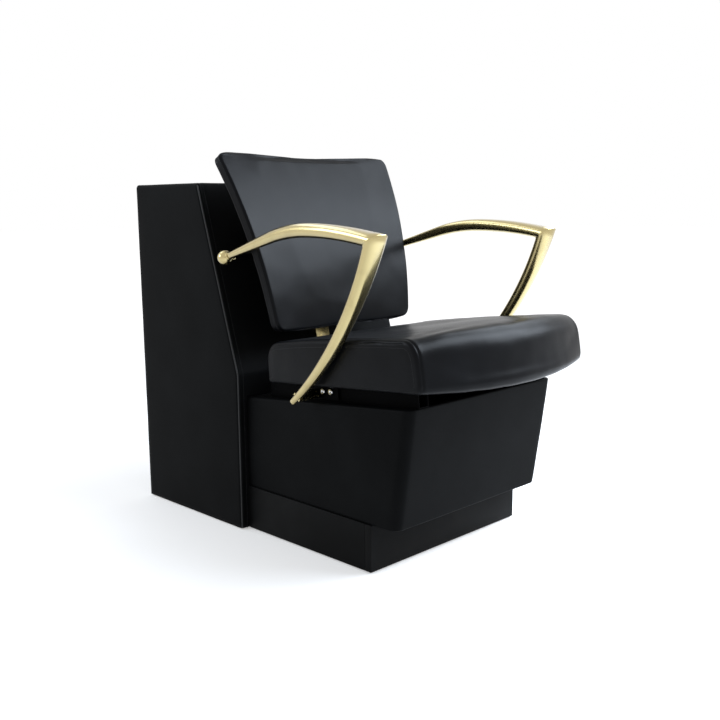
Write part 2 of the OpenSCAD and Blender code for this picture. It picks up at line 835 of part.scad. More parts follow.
module back_spacers() {
    color("#3a3c3e") difference() {
        intersection() {
            union() {
                cross_bolt_places() cylinder(d = spacer_d, h = 2 * cross_to_board);
                on_cross() cylinder(d = spacer_d, h = 2 * cross_to_board);
                on_bar(upper_bolt_z) translate([0, 0, bar_t / 2])
                    cylinder(d = spacer_d, h = 2 * upper_to_board);
            }
            behind_board();
        }
        on_cross() rotate([0, 90, 0]) cylinder(d = cross_d, h = cross_len, center = true);
        back_bolt_holes();
    }
}

module back_bolt_holes() {
    cross_bolt_places() cylinder(d = bolt_d + 2 * bolt_gap, h = 3 * cross_to_board);
    on_cross() cylinder(d = bolt_d + 2 * bolt_gap, h = 3 * cross_to_board);
    on_bar(upper_bolt_z) cylinder(d = bolt_d + 2 * bolt_gap, h = 3 * upper_to_board);
}

module back_bolts() {
    color("#6d7072") {
        cross_bolt_places() translate([0, 0, -cross_d / 2])
            bolt(bolt_d, cross_d / 2 + cross_to_board + back_board_t - 2 * tip_gap,
                bolt_head_d, bolt_head_t);
        on_bar(cross_z) translate([0, 0, -bar_t / 2])
            bolt(bolt_d, bar_t + cross_d / 2 + cross_to_board + back_board_t - 2 * tip_gap,
                bolt_head_d, bolt_head_t);
        on_bar(upper_bolt_z) translate([0, 0, -bar_t / 2])
            bolt(bolt_d, bar_t / 2 + upper_to_board + back_board_t - 2 * tip_gap, bolt_head_d, bolt_head_t);
    }
}

// Back cushion and its board

module back_board() {
    far = 2 * back_r;
    color("#202225") difference() {
        side_view(back_board_w) translate(back_mid) intersection() {
            difference() {
                circle(back_board_r, $fn = fine_fn);
                circle(back_board_r - back_board_t, $fn = fine_fn);
            }
            polygon(concat([[0, 0]], [for (a = back_board_angles) far * [-cos(a), sin(a)]]));
        }
        back_bolt_holes();
    }
}

// Rows along the curve: place, and how far the cushion is drawn in there. They are denser at the corners.
back_corner_shares = [0.2, 0.5, 1];
back_rows = 12;
edge_steps = 3;
function back_end_rows() = concat(
    [for (i = [0 : edge_steps])
        let (a = 90 * i / edge_steps)
        [back_edge_r * (1 - cos(a)), back_edge_r * (1 - sin(a))]],
    [for (share = back_corner_shares) [back_edge_r + (back_corner_r - back_edge_r) * share, 0]]);
function back_all_rows() = let (ends = back_end_rows(), last = len(ends) - 1)
    concat(ends,
        [for (i = [1 : back_rows - 1]) [back_corner_r + (back_len - 2 * back_corner_r) * i / back_rows, 0]],
        [for (i = [last : -1 : 0]) [back_len - ends[i][0], ends[i][1]]]);

// Half width at the place s: tapered, with round corners
function back_half_w(s) = let (
        w = (back_low_w + (back_top_w - back_low_w) * s / back_len) / 2,
        e = max(0, 1 - min(s, back_len - s) / back_corner_r))
    w - back_corner_r * (1 - sqrt(1 - e * e));

// Depth of the front and the rear of the cushion at the share u of its half width.
// The front is hollowed, and the rear stands out over the board.
pad_share = 0.35;
dish_low_share = 0.2;
function back_front_d(u, s) = back_dish * (1 - u * u) * sin(180 * min(0.5, dish_low_share + s / back_len));
function back_rear_d(u, s) = let (f = ease(4 * s / back_len) * ease(4 * (1 - s / back_len)))
    back_edge_t + (back_t - back_edge_t) * (1 - pow(u, 6)) * (pad_share + (1 - pad_share) * f);

// A point of the cushion at the place s, the width x and the depth d
function back_point(x, s, d) = let (a = back_lean + s / back_r * 180 / PI, r = back_r - d)
    [x, back_mid[0] - r * cos(a), back_mid[1] + r * sin(a)];

// The boxed edge at half width w, from the front to the rear
function back_edge(w) = concat(
    corner([w - back_edge_r, back_edge_r], back_edge_r, 270, edge_steps),
    [[w, back_edge_t / 2]],
    corner([w - back_edge_r, back_edge_t - back_edge_r], back_edge_r, 0, edge_steps));

function back_ring(row) = let (
        s = row[0],
        w = back_half_w(s),
        mid = back_edge_t / 2,
        open = 1 - row[1] / mid,
        edge = back_edge(w),
        last = len(edge) - 1,
        us = [for (k = [-4 : 4]) k / 5])
    [for (p = concat(
            [for (u = us) [u * (w - back_edge_r), back_front_d(u, s)]],
            edge,
            [for (k = [len(us) - 1 : -1 : 0]) [us[k] * (w - back_edge_r), back_rear_d(us[k], s)]],
            [for (k = [last : -1 : 0]) [-edge[k][0], edge[k][1]]]))
        back_point(p[0], s, mid + (p[1] - mid) * open)];

module back_cushion() {
    color("#26282b") loft([for (row = back_all_rows()) back_ring(row)]);
}

// Arms

// A station of the arm holds its centre in Y and Z, the slope of its run, half width and half thickness.
// Its place across the chair follows from its Y.
function arm_share(y) = (cross_c[0] - y) / (cross_c[0] + arm_corner_d);
function arm_x(y) = ball_x + (arm_span / 2 - ball_x) * (1 - pow(max(0, 1 - arm_share(y)), 2));
function upper_half_w(f) = (arm_rear_dia + (arm_w - arm_rear_dia) * pow(f, arm_flare)) / 2;
function upper_half_t(f) = (arm_rear_dia + (arm_t - arm_rear_dia) * sin(90 * min(1, f / thick_share))) / 2;
function upper_station(p, slope) = let (f = arm_share(p[0]))
    [p, slope, upper_half_w(f), upper_half_t(f)];
// Half sizes of the lower arm at the share f of its length
function low_half_w(f) = let (g = taper_share * (1 - f) + (1 - taper_share) * pow(1 - f, 6))
    (arm_tip_w + (arm_w - arm_tip_w) * g) / 2;
function low_half_t(f) = (arm_tip_t + (arm_t - arm_tip_t) * (1 - f * f)) / 2;
function low_point(a) = arm_corner + arm_low_r * [cos(arm_low_a0) - cos(a), sin(arm_low_a0) - sin(a)];

rear_dir = [-cos(arm_rear_angle), sin(arm_rear_angle)];
arm_rear_start = cross_c + ball_cut * rear_dir;
// The corner ring lies in the mitre, which halves the angle between the two runs
mitre_in = arm_front_angle;
mitre_out = 90 + arm_low_a0;
mitre_stretch = 1 / cos((mitre_out - mitre_in) / 2);
// The rings next to the mitre stay this far from it
mitre_gap = 32;

function arm_stations() = concat(
    [for (i = [0 : arm_straight_n])
        let (f = i / (arm_straight_n + 1))
        upper_station(arm_rear_start + (arm_rear_touch - arm_rear_start) * f, arm_rear_angle)],
    [for (i = [0 : arm_rear_n - 1])
        let (a = arm_rear_angle * (1 - i / arm_rear_n))
        upper_station(arm_rear_mid + arm_rear_r * [sin(a), cos(a)], a)],
    [for (i = [0 : arm_front_n])
        let (a = (arm_front_angle - mitre_gap / arm_front_r * 180 / PI) * i / arm_front_n)
        upper_station([-arm_peak_d - arm_front_r * sin(a), arm_peak_z - arm_front_r * (1 - cos(a))], -a)],
    [[arm_corner, -(mitre_in + mitre_out) / 2, arm_w / 2, arm_t / 2 * mitre_stretch]],
    [for (i = [0 : arm_low_n])
        let (f0 = mitre_gap / norm(arm_low_chord),
            f = f0 + (1 - f0) * i / arm_low_n,
            a = arm_low_a0 + (arm_low_a1 - arm_low_a0) * f)
        [low_point(a), -90 - a, low_half_w(f), low_half_t(f)]]);

function arm_ring(st, g) = [for (j = [0 : arm_round_n - 1])
    let (t = turn * j / arm_round_n, up = (st[3] + g) * sin(t))
    [arm_x(st[0][0]) + (st[2] + g) * cos(t), st[0][0] + up * sin(st[1]), st[0][1] + up * cos(st[1])]];

// The arm at the sitter's left, grown by g
module arm(g = 0) {
    loft([for (st = arm_stations()) arm_ring(st, g)]);
}

module arm_left() {
    color("#c9b36a") arm();
}

module arm_right() {
    color("#c9b36a") mirror([1, 0, 0]) arm();
}

// A frame at the rear ball of the arm, its Z pointing outward across the chair
module at_ball(x) {
    translate([x, cross_c[0], cross_c[1]]) rotate([0, 90, 0]) children();
}

module arm_balls() {
    stud_end = cross_len / 2 + collar_t + stud_in;
    color("#c9b36a") both_sides() difference() {
        translate([ball_x, cross_c[0], cross_c[1]]) sphere(d = ball_d);
        at_ball(ball_x - ball_flat - ball_d) cylinder(d = 2 * ball_d, h = ball_d);
        at_ball(cross_len / 2) cylinder(d = stud_d + bolt_gap, h = stud_end - cross_len / 2);
        translate([ball_x, cross_c[0], cross_c[1]]) rotate([90 - arm_rear_angle, 0, 0])
            translate([0, 0, ball_cut - seat_gap]) cylinder(d = 2 * ball_d, h = ball_d);
    }
}

module arm_collars() {
    color("#c9b36a") both_sides() at_ball(cross_len / 2) difference() {
        cylinder(d = collar_d, h = collar_t);
        translate([0, 0, -cut]) cylinder(d = stud_d + bolt_gap, h = collar_t + 2 * cut);
    }
}

module arm_studs() {
    color("#6d7072") both_sides() at_ball(cross_len / 2 - stud_in + tip_gap)
        cylinder(d = stud_d, h = 2 * stud_in + collar_t - 2 * tip_gap);
}

module arm_lugs() {
    a = arm_low_a0 + (arm_low_a1 - arm_low_a0) * lug_share;
    p = low_point(a);
    from = rail_span / 2 + foot_plate_t;
    color("#c9b36a") both_sides() difference() {
        translate([from, p[0], p[1]]) rotate([-90 - a, 0, 0]) translate([0, -lug_w / 2, -lug_t / 2])
            cube([arm_span / 2 - from, lug_w, lug_t]);
        arm(seat_gap);
    }
}

// The plates stand on the outer faces of the seat rails
module arm_foot_plates() {
    color("#1d1e20") difference() {
        on_slope(foot_plate_lift) both_sides()
            translate([rail_span / 2, -foot_plate_place - foot_plate[0] / 2, 0])
                cube([foot_plate_t, foot_plate[0], foot_plate[1]]);
        arm_bolt_holes();
    }
}

module arm_bolt_places() {
    on_slope(arm_bolt_lift) both_sides() for (share = arm_bolt_shares)
        translate([rail_span / 2 + foot_plate_t, -foot_plate_place - share * foot_plate[0], 0])
            rotate([0, -90, 0]) children();
}

module arm_bolt_holes() {
    arm_bolt_places() translate([0, 0, -cut]) cylinder(d = arm_bolt_d + bolt_gap, h = arm_bolt_len);
}

module arm_bolts() {
    color("#c4c7c9") arm_bolt_places()
        bolt(arm_bolt_d, arm_bolt_len - tip_gap, arm_bolt_head_d, arm_bolt_head_t);
}

// Placing

// Depth of the whole chair's middle, which the drawing below moves to Y = 0
centre_y = (box_d + front_y) / 2;

module placed() {
    translate([0, -centre_y, 0]) children();
}

placed() floor_glides();
placed() plinth_front_board();
placed() plinth_side_boards();
placed() plinth_corner_blocks();
placed() base_bottom_panel();
placed() base_side_panels();
placed() base_front_panel();
placed() base_top_panel();
placed() base_rear_rail();
placed() base_cover();
placed() joining_screws();
placed() box_bottom_panel();
placed() box_side_panels();
placed() box_front_lower_panel();
placed() box_front_upper_panel();
placed() box_top_panel();
placed() box_battens();
placed() box_rear_panel();
placed() box_cover();
placed() rear_panel_screws();
placed() cable_grommet();
placed() post_socket();
placed() socket_screws();
placed() seat_rails();
placed() seat_board();
placed() seat_cushion();
placed() seat_bolts();
placed() back_bar();
placed() back_bar_bolts();
placed() back_cross_bar();
placed() back_board();
placed() back_cushion();
placed() back_spacers();
placed() back_bolts();
placed() arm_right();
placed() arm_left();
placed() arm_lugs();
placed() arm_foot_plates();
placed() arm_bolts();
placed() arm_balls();
placed() arm_collars();
placed() arm_studs();
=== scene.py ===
"""The hood dryer chair dressed for a picture.

A padded seat and back in black leatherette, brass coloured arms, an upholstered seat
base on a black plinth, and the upholstered box that carries the hood dryer.
Sizes are millimetres in the part's own drawing: Y is 0 at the box's lower front, the
sitter faces -Y and the floor is Z = 0. Drawing.place turns them into the frame's metres.
"""

from __future__ import annotations

import json
import logging
import math
from dataclasses import dataclass, field
from enum import Enum
from typing import Any, NamedTuple

import bmesh
import bpy
import numpy as np
from mathutils import Matrix, Vector, noise
from mathutils.bvhtree import BVHTree
from mathutils.kdtree import KDTree

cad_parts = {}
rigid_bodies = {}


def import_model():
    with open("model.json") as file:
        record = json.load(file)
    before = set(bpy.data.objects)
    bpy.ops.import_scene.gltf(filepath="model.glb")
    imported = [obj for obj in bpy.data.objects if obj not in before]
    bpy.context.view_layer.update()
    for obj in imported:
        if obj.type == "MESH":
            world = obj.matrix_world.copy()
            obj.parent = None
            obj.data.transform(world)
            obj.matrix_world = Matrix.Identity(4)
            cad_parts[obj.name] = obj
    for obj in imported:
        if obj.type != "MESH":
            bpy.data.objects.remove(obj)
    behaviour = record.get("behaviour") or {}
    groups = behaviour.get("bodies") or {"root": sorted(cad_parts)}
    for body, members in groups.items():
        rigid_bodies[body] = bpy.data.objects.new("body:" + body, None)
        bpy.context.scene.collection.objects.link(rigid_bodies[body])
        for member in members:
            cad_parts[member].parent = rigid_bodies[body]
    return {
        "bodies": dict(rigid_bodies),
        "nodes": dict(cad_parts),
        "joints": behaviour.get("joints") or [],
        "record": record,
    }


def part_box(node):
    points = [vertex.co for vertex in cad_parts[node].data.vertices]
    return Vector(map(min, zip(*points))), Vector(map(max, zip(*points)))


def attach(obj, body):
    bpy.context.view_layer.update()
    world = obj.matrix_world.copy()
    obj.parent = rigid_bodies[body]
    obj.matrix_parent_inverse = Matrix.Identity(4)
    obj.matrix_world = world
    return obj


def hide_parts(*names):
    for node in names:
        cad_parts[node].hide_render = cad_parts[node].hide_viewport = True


log = logging.getLogger("dryer_chair")
BODY = "root"
MM = 0.001
HEAD_SIDES = 32

Triple = tuple[float, float, float]
Faces = list[tuple[int, ...]]


# Node trees


class Value:
    """A number in a node tree. Arithmetic on it adds Math nodes."""

    def __init__(self, graph: Graph, socket: bpy.types.NodeSocket) -> None:
        """Wraps a socket.

        Args:
            graph: the graph that the socket belongs to.
            socket: an output that carries one number.
        """
        self.graph = graph
        self.socket = socket

    def _math(self, operation: str, *terms: Any) -> Value:
        """Adds one Math node.

        Args:
            operation: the node's operation.
            *terms: its inputs in order, values or plain numbers.

        Returns:
            The node's result.
        """
        made = self.graph.node("ShaderNodeMath", {"operation": operation}, dict(enumerate(terms)))
        return Value(self.graph, made.outputs[0])

    def __add__(self, other: Any) -> Value:
        """self + other."""
        return self._math("ADD", self, other)

    __radd__ = __add__

    def __sub__(self, other: Any) -> Value:
        """self - other."""
        return self._math("SUBTRACT", self, other)

    def __rsub__(self, other: Any) -> Value:
        """other - self."""
        return self._math("SUBTRACT", other, self)

    def __mul__(self, other: Any) -> Value:
        """self * other."""
        return self._math("MULTIPLY", self, other)

    __rmul__ = __mul__

    def highest(self, other: Any) -> Value:
        """The larger of two values."""
        return self._math("MAXIMUM", self, other)

    def ramp(self, low: float, high: float) -> Value:
        """Maps low to 0 and high to 1, smoothly and clamped.

        Args:
            low: the value that becomes 0.
            high: the value that becomes 1.

        Returns:
            The mapped value.
        """
        made = self.graph.node(
            "ShaderNodeMapRange",
            {"interpolation_type": "SMOOTHSTEP"},
            {"Value": self, "From Min": low, "From Max": high, "To Min": 0.0, "To Max": 1.0},
        )
        return Value(self.graph, made.outputs["Result"])


class Graph:
    """Builds the nodes of one tree."""

    def __init__(self, tree: bpy.types.NodeTree) -> None:
        """Empties the tree and starts on it.

        Args:
            tree: a material's, world's or geometry tree.
        """
        self.tree = tree
        tree.nodes.clear()

    def node(
        self, kind: str, settings: dict[str, Any] | None = None, sockets: dict[Any, Any] | None = None
    ) -> bpy.types.Node:
        """Adds a node.

        Args:
            kind: the node's type.
            settings: its own settings, set before the sockets.
            sockets: values or links of its inputs, by name or place.

        Returns:
            The new node.
        """
        made = self.tree.nodes.new(kind)
        for name, setting in (settings or {}).items():
            setattr(made, name, setting)
        for name, value in (sockets or {}).items():
            socket = made.inputs[name]
            if isinstance(value, Value):
                value = value.socket
            if isinstance(value, bpy.types.NodeSocket):
                self.tree.links.new(value, socket)
            else:
                socket.default_value = value
        return made

    def value(self, node: bpy.types.Node, output: Any = 0) -> Value:
        """Wraps one number output of a node."""
        return Value(self, node.outputs[output])


def colour(red: float, green: float, blue: float) -> tuple[float, float, float, float]:
    """A scene-linear colour with full alpha."""
    return (red, green, blue, 1.0)


# Finishes


class Shade:
    """The Principled material that every finish starts from."""

    def __init__(self, name: str) -> None:
        """Makes an empty material with its output.

        Args:
            name: the material's name.
        """
        self.material = bpy.data.materials.new(name)
        self.material.use_nodes = True
        self.graph = Graph(self.material.node_tree)
        self.place = self.graph.node("ShaderNodeTexCoord").outputs["Object"]
        self.output = self.graph.node("ShaderNodeOutputMaterial")

    def noise(self, scale: float, detail: float, stretch: Triple = (1.0, 1.0, 1.0)) -> Value:
        """Noise from 0 to 1 over the object's metres.

        Args:
            scale: features per metre.
            detail: octaves.
            stretch: how much denser it is along each axis.

        Returns:
            The noise.
        """
        mapped = self.graph.node("ShaderNodeMapping", None, {"Vector": self.place, "Scale": stretch})
        made = self.graph.node(
            "ShaderNodeTexNoise", None, {"Vector": mapped.outputs[0], "Scale": scale, "Detail": detail}
        )
        return self.graph.value(made, "Fac")

    def cells(self, scale: float) -> Value:
        """Distance from the middle of the nearest cell of a Voronoi pattern.

        Args:
            scale: cells per metre.

        Returns:
            The distance.
        """
        sockets = {"Vector": self.place, "Scale": scale}
        made = self.graph.node("ShaderNodeTexVoronoi", {"feature": "F1"}, sockets)
        return self.graph.value(made, "Distance")

    def mix(self, share: Any, first: Any, second: Any) -> bpy.types.NodeSocket:
        """Mixes two colours.

        Args:
            share: how much of the second.
            first: a colour or link.
            second: a colour or link.

        Returns:
            The mixed colour.
        """
        made = self.graph.node("ShaderNodeMix", {"data_type": "RGBA"}, {0: share, 6: first, 7: second})
        return made.outputs[2]

    def bump(self, height: Any, strength: float, distance: float) -> bpy.types.NodeSocket:
        """A bumped normal.

        Args:
            height: the height, from 0 to 1.
            strength: the node's strength.
            distance: metres that a height of 1 stands for.

        Returns:
            The normal.
        """
        sockets = {"Strength": strength, "Distance": distance, "Height": height}
        return self.graph.node("ShaderNodeBump", None, sockets).outputs["Normal"]

    def finish(self, **sockets: Any) -> bpy.types.Material:
        """Adds the Principled shader.

        Args:
            **sockets: its sockets, with an underscore for each space.

        Returns:
            The finished material.
        """
        named = {name.replace("_", " "): value for name, value in sockets.items()}
        shader = self.graph.node("ShaderNodeBsdfPrincipled", None, named)
        self.graph.tree.links.new(shader.outputs[0], self.output.inputs["Surface"])
        return self.material


@dataclass(frozen=True)
class Leatherette:
    """Black coated cloth with a fine pebble grain."""

    name: str
    base: Triple
    worn: Triple
    roughness: float
    specular: float
    grains: float = 620.0
    grain_depth: float = 0.00016

    def make(self) -> bpy.types.Material:
        """Builds the material.

        Returns:
            The material.
        """
        shade = Shade(self.name)
        cloud = shade.noise(7.0, 4.0)
        fine = shade.noise(2400.0, 2.0)
        pebble = shade.cells(self.grains).ramp(0.05, 0.62)
        crease = shade.noise(58.0, 5.0, (1.0, 1.6, 0.8)).ramp(0.46, 0.54)
        height = pebble * -0.7 + fine * 0.25 + crease * 0.4
        rubbed = (cloud * 0.7 + fine * 0.3).ramp(0.35, 0.75)
        return shade.finish(
            Base_Color=shade.mix(rubbed, colour(*self.base), colour(*self.worn)),
            Roughness=cloud * 0.07 + pebble * 0.04 + (self.roughness - 0.05),
            Specular_IOR_Level=self.specular,
            Normal=shade.bump(height, 0.35, self.grain_depth),
        )


@dataclass(frozen=True)
class Metal:
    """A metal with fine polishing marks and slight smears, bare or under clear lacquer."""

    name: str
    base: Triple
    dull: Triple
    roughness: float
    marks: Triple = (1.0, 1.0, 1.0)
    mark_scale: float = 900.0
    lacquer: float = 0.0

    def make(self) -> bpy.types.Material:
        """Builds the material.

        Returns:
            The material.
        """
        shade = Shade(self.name)
        marks = shade.noise(self.mark_scale, 3.0, self.marks)
        smear = shade.noise(24.0, 4.0)
        tarnish = smear.ramp(0.5, 0.78)
        return shade.finish(
            Base_Color=shade.mix(tarnish * 0.6, colour(*self.base), colour(*self.dull)),
            Metallic=1.0,
            Roughness=marks * 0.05 + smear * 0.08 + (self.roughness - 0.07),
            Coat_Weight=self.lacquer,
            Coat_Roughness=0.10,
            Normal=shade.bump(marks * 0.6 + smear * 0.4, 0.02, 0.00012),
        )


@dataclass(frozen=True)
class Coated:
    """Steel or board under a dark coating with a fine stipple."""

    name: str
    base: Triple
    worn: Triple
    roughness: float
    specular: float = 0.4
    stipple: float = 1100.0

    def make(self) -> bpy.types.Material:
        """Builds the material.

        Returns:
            The material.
        """
        shade = Shade(self.name)
        cloud = shade.noise(9.0, 4.0)
        grains = shade.noise(self.stipple, 2.0)
        return shade.finish(
            Base_Color=shade.mix(cloud.ramp(0.4, 0.8), colour(*self.base), colour(*self.worn)),
            Roughness=cloud * 0.08 + grains * 0.06 + (self.roughness - 0.07),
            Specular_IOR_Level=self.specular,
            Normal=shade.bump(grains, 0.22, 0.0001),
        )


@dataclass(frozen=True)
class Timber:
    """Birch plywood or softwood: long grain with darker lines."""

    name: str
    light: Triple
    dark: Triple
    run: Triple

    def make(self) -> bpy.types.Material:
        """Builds the material.

        Returns:
            The material.
        """
        shade = Shade(self.name)
        grain = shade.noise(34.0, 6.0, self.run)
        pores = shade.noise(420.0, 3.0, self.run)
        lines = (grain * 0.75 + pores * 0.25).ramp(0.35, 0.68)
        return shade.finish(
            Base_Color=shade.mix(lines, colour(*self.light), colour(*self.dark)),
            Roughness=grain * 0.12 + 0.55,
            Specular_IOR_Level=0.3,
            Normal=shade.bump(pores, 0.25, 0.0002),
        )


@dataclass(frozen=True)
class Thread:
    """Twisted sewing thread."""

    name: str
    base: Triple

    def make(self) -> bpy.types.Material:
        """Builds the material.

        Returns:
            The material.
        """
        shade = Shade(self.name)
        twist = shade.noise(3800.0, 1.0)
        return shade.finish(
            Base_Color=shade.mix(twist, colour(*self.base), colour(*(1.8 * c for c in self.base))),
            Roughness=twist * 0.15 + 0.5,
            Specular_IOR_Level=0.35,
            Normal=shade.bump(twist, 0.4, 0.0001),
        )


class Finish(Enum):
    """The finishes of the chair's materials."""

    SEAT = Leatherette(
        "grained_seat_leatherette",
        base=(0.0025, 0.0027, 0.0033),
        worn=(0.0050, 0.0055, 0.0066),
        roughness=0.30,
        specular=0.065,
    )
    # PIPING is the cover's leatherette made lighter and glossier: a painted highlight for the light line
    # along the welts at the box's front corners.
    PIPING = Leatherette(
        "grained_piping_leatherette_painted_highlight",
        base=(0.010, 0.0105, 0.011),
        worn=(0.020, 0.021, 0.022),
        roughness=0.38,
        specular=0.30,
    )
    COVER = Leatherette(
        "grained_cover_leatherette",
        base=(0.0024, 0.0026, 0.0028),
        worn=(0.0047, 0.0050, 0.0053),
        roughness=0.50,
        specular=0.030,
    )
    BRASS = Metal(
        "lacquered_brass",
        base=(0.46, 0.375, 0.165),
        dull=(0.37, 0.295, 0.120),
        roughness=0.25,
        marks=(1.0, 0.2, 0.2),
        mark_scale=240.0,
        lacquer=1.0,
    )
    STEEL = Metal("polished_steel", (0.72, 0.73, 0.75), (0.55, 0.56, 0.58), 0.16)
    ZINC = Metal("zinc_plate", (0.45, 0.46, 0.48), (0.30, 0.31, 0.32), 0.38)
    # FRAME is black powder coat with its base colour and specular pushed below the other blacks: painted
    # shade, so the rails, plates and bars under the seat and behind the back read as dark as the shade
    # there.
    FRAME = Coated("black_powder_coat_and_painted_shade", (0.0008, 0.0008, 0.0009), (0.0018, 0.0018, 0.0020), 0.50, 0.02)
    BOARD = Coated("black_laminate", (0.0030, 0.0031, 0.0032), (0.0062, 0.0064, 0.0066), 0.50, 0.05, 700.0)
    NYLON = Coated("moulded_black_nylon", (0.010, 0.010, 0.011), (0.018, 0.018, 0.020), 0.55, 0.4, 1600.0)
    PLYWOOD = Timber("birch_plywood", (0.55, 0.36, 0.19), (0.32, 0.19, 0.09), (1.0, 0.12, 0.35))
    BATTEN = Timber("softwood_batten", (0.62, 0.42, 0.22), (0.42, 0.25, 0.11), (1.0, 1.0, 0.08))
    THREAD = Thread("sewing_thread", (0.010, 0.010, 0.011))

    @property
    def material(self) -> bpy.types.Material:
        """The finish's material, made when it is first asked for."""
        return bpy.data.materials.get(self.value.name) or self.value.make()


# Meshes


@dataclass(frozen=True)
class Drawing:
    """Turns the drawing's millimetres into the frame's metres."""

    shift: float

    def place(self, points: Any) -> np.ndarray:
        """Places points in the frame.

        Args:
            points: points of the drawing, the last axis X, Y, Z.

        Returns:
            The points in metres.
        """
        return np.asarray(points, float) * MM + np.array([0.0, self.shift, 0.0])


def ease(t: Any) -> Any:
    """A smooth step from 0 to 1."""
    s = np.clip(t, 0.0, 1.0)
    return s * s * (3.0 - 2.0 * s)


def linked(name: str, data: bpy.types.ID) -> bpy.types.Object:
    """A new object of the scene, at the origin.

    Args:
        name: its name.
        data: its mesh or other data.

    Returns:
        The object.
    """
    made = bpy.data.objects.new(name, data)
    bpy.context.scene.collection.objects.link(made)
    return made


def piece(name: str, points: np.ndarray, faces: Faces, outward: bool = True) -> bpy.types.Object:
    """Makes a smooth mesh object at the origin.

    Args:
        name: the piece's name.
        points: its points in metres.
        faces: its faces.
        outward: turn the faces of a closed form outward.

    Returns:
        The object.
    """
    mesh = bpy.data.meshes.new(name)
    mesh.from_pydata([tuple(p) for p in points], [], faces)
    if outward:
        shell = bmesh.new()
        shell.from_mesh(mesh)
        bmesh.ops.remove_doubles(shell, verts=shell.verts, dist=1e-7)
        bmesh.ops.recalc_face_normals(shell, faces=shell.faces)
        shell.to_mesh(mesh)
        shell.free()
    mesh.shade_smooth()
    return linked(name, mesh)


def loft(name: str, rings: np.ndarray) -> bpy.types.Object:
    """A closed skin through rings of points, with a fan on each end.

    Args:
        name: the piece's name.
        rings: rings by points by X, Y, Z, in metres.

    Returns:
        The object.
    """
    n, m, _ = rings.shape
    faces: Faces = [
        (i * m + j, i * m + (j + 1) % m, (i + 1) * m + (j + 1) % m, (i + 1) * m + j)
        for i in range(n - 1)
        for j in range(m)
    ]
    faces += [(n * m, (j + 1) % m, j) for j in range(m)]
    faces += [(n * m + 1, (n - 1) * m + j, (n - 1) * m + (j + 1) % m) for j in range(m)]
    return piece(name, np.vstack([rings.reshape(-1, 3), rings[0].mean(0), rings[-1].mean(0)]), faces)


def strip_faces(rows: int, points: int) -> Faces:
    """The faces of an open sheet of rows of points."""
    starts = [i * points + j for i in range(rows - 1) for j in range(points - 1)]
    return [(a, a + 1, a + 1 + points, a + points) for a in starts]


def face_outward(skin: bpy.types.Object) -> None:
    """Turns an open skin's faces outward, by the face that lies furthest to the front.

    Args:
        skin: a skin whose front faces -Y.
    """
    shell = bmesh.new()
    shell.from_mesh(skin.data)
    bmesh.ops.remove_doubles(shell, verts=shell.verts, dist=1e-6)
    bmesh.ops.recalc_face_normals(shell, faces=shell.faces)
    if min(shell.faces, key=lambda f: f.calc_center_median().y).normal.y > 0:
        bmesh.ops.reverse_faces(shell, faces=shell.faces)
    shell.to_mesh(skin.data)
    shell.free()


def give_wall(skin: bpy.types.Object, thickness: float) -> None:
    """Gives a skin a wall on its inner side.

    Args:
        skin: a skin whose faces point outward.
        thickness: the wall in metres.
    """
    wall = skin.modifiers.new("wall", "SOLIDIFY")
    wall.thickness, wall.offset, wall.use_even_offset = thickness, -1.0, False
    settle(skin)
    skin.data.shade_smooth()


def resample(line: np.ndarray, count: int, closed: bool = False) -> np.ndarray:
    """Spaces points evenly along a line.

    Args:
        line: the line's points.
        count: how many points are wanted.
        closed: the line returns to its start.

    Returns:
        The new points.
    """
    if closed:
        line = np.vstack([line, line[:1]])
    run = np.concatenate([[0.0], np.cumsum(np.linalg.norm(np.diff(line, axis=0), axis=1))])
    at = np.linspace(0.0, run[-1], count, endpoint=not closed)
    return np.stack([np.interp(at, run, line[:, k]) for k in range(line.shape[1])], axis=1)


def rounded(line: np.ndarray, passes: int) -> np.ndarray:
    """Smooths a closed, evenly spaced line by averaging.

    Args:
        line: the line's points.
        passes: how often it is averaged.

    Returns:
        The smoothed points.
    """
    for _ in range(passes):
        mean = (np.roll(line, 1, 0) + np.roll(line, -1, 0)) / 2.0
        line = (line + mean) / 2.0
    return line


def drawn_in(line: np.ndarray, inset: float) -> np.ndarray:
    """Draws a closed flat line in, to the left of its run.

    Args:
        line: the line's points.
        inset: how far it is drawn in.

    Returns:
        The line drawn in.
    """
    run = np.roll(line, -1, 0) - np.roll(line, 1, 0)
    inward = np.stack([-run[:, 1], run[:, 0]], 1) / np.linalg.norm(run, axis=1, keepdims=True)
    return line + inset * inward


def points_of(mesh: bpy.types.Mesh) -> np.ndarray:
    """The vertices of a mesh as an array.

    Args:
        mesh: the mesh.

    Returns:
        One row of X, Y and Z for each vertex.
    """
    flat = np.zeros(len(mesh.vertices) * 3, np.float32)
    mesh.vertices.foreach_get("co", flat)
    return flat.reshape(-1, 3).astype(float)


def normals_of(mesh: bpy.types.Mesh) -> np.ndarray:
    """The vertex normals of a mesh as an array.

    Args:
        mesh: the mesh.

    Returns:
        One row of X, Y and Z for each vertex.
    """
    flat = np.zeros(len(mesh.vertices) * 3, np.float32)
    mesh.vertex_normals.foreach_get("vector", flat)
    return flat.reshape(-1, 3).astype(float)


def set_points(mesh: bpy.types.Mesh, points: np.ndarray) -> None:
    """Moves the vertices of a mesh."""
    mesh.vertices.foreach_set("co", points.astype(np.float32).ravel())
    mesh.update()


def distance_to(points: np.ndarray, lines: list[np.ndarray]) -> np.ndarray:
    """How far each point is from the nearest of some dense lines.

    Args:
        points: the points.
        lines: lines with closely spaced points.

    Returns:
        The distances.
    """
    marks = np.vstack([resample(line, 3 * len(line)) for line in lines])
    tree = KDTree(len(marks))
    for i, mark in enumerate(marks):
        tree.insert(mark, i)
    tree.balance()
    return np.array([tree.find(p)[2] for p in points])


def evaluated(obj: bpy.types.Object) -> bpy.types.Mesh:
    """The object's mesh with its modifiers, as a plain mesh."""
    graph = bpy.context.evaluated_depsgraph_get()
    return bpy.data.meshes.new_from_object(obj.evaluated_get(graph))


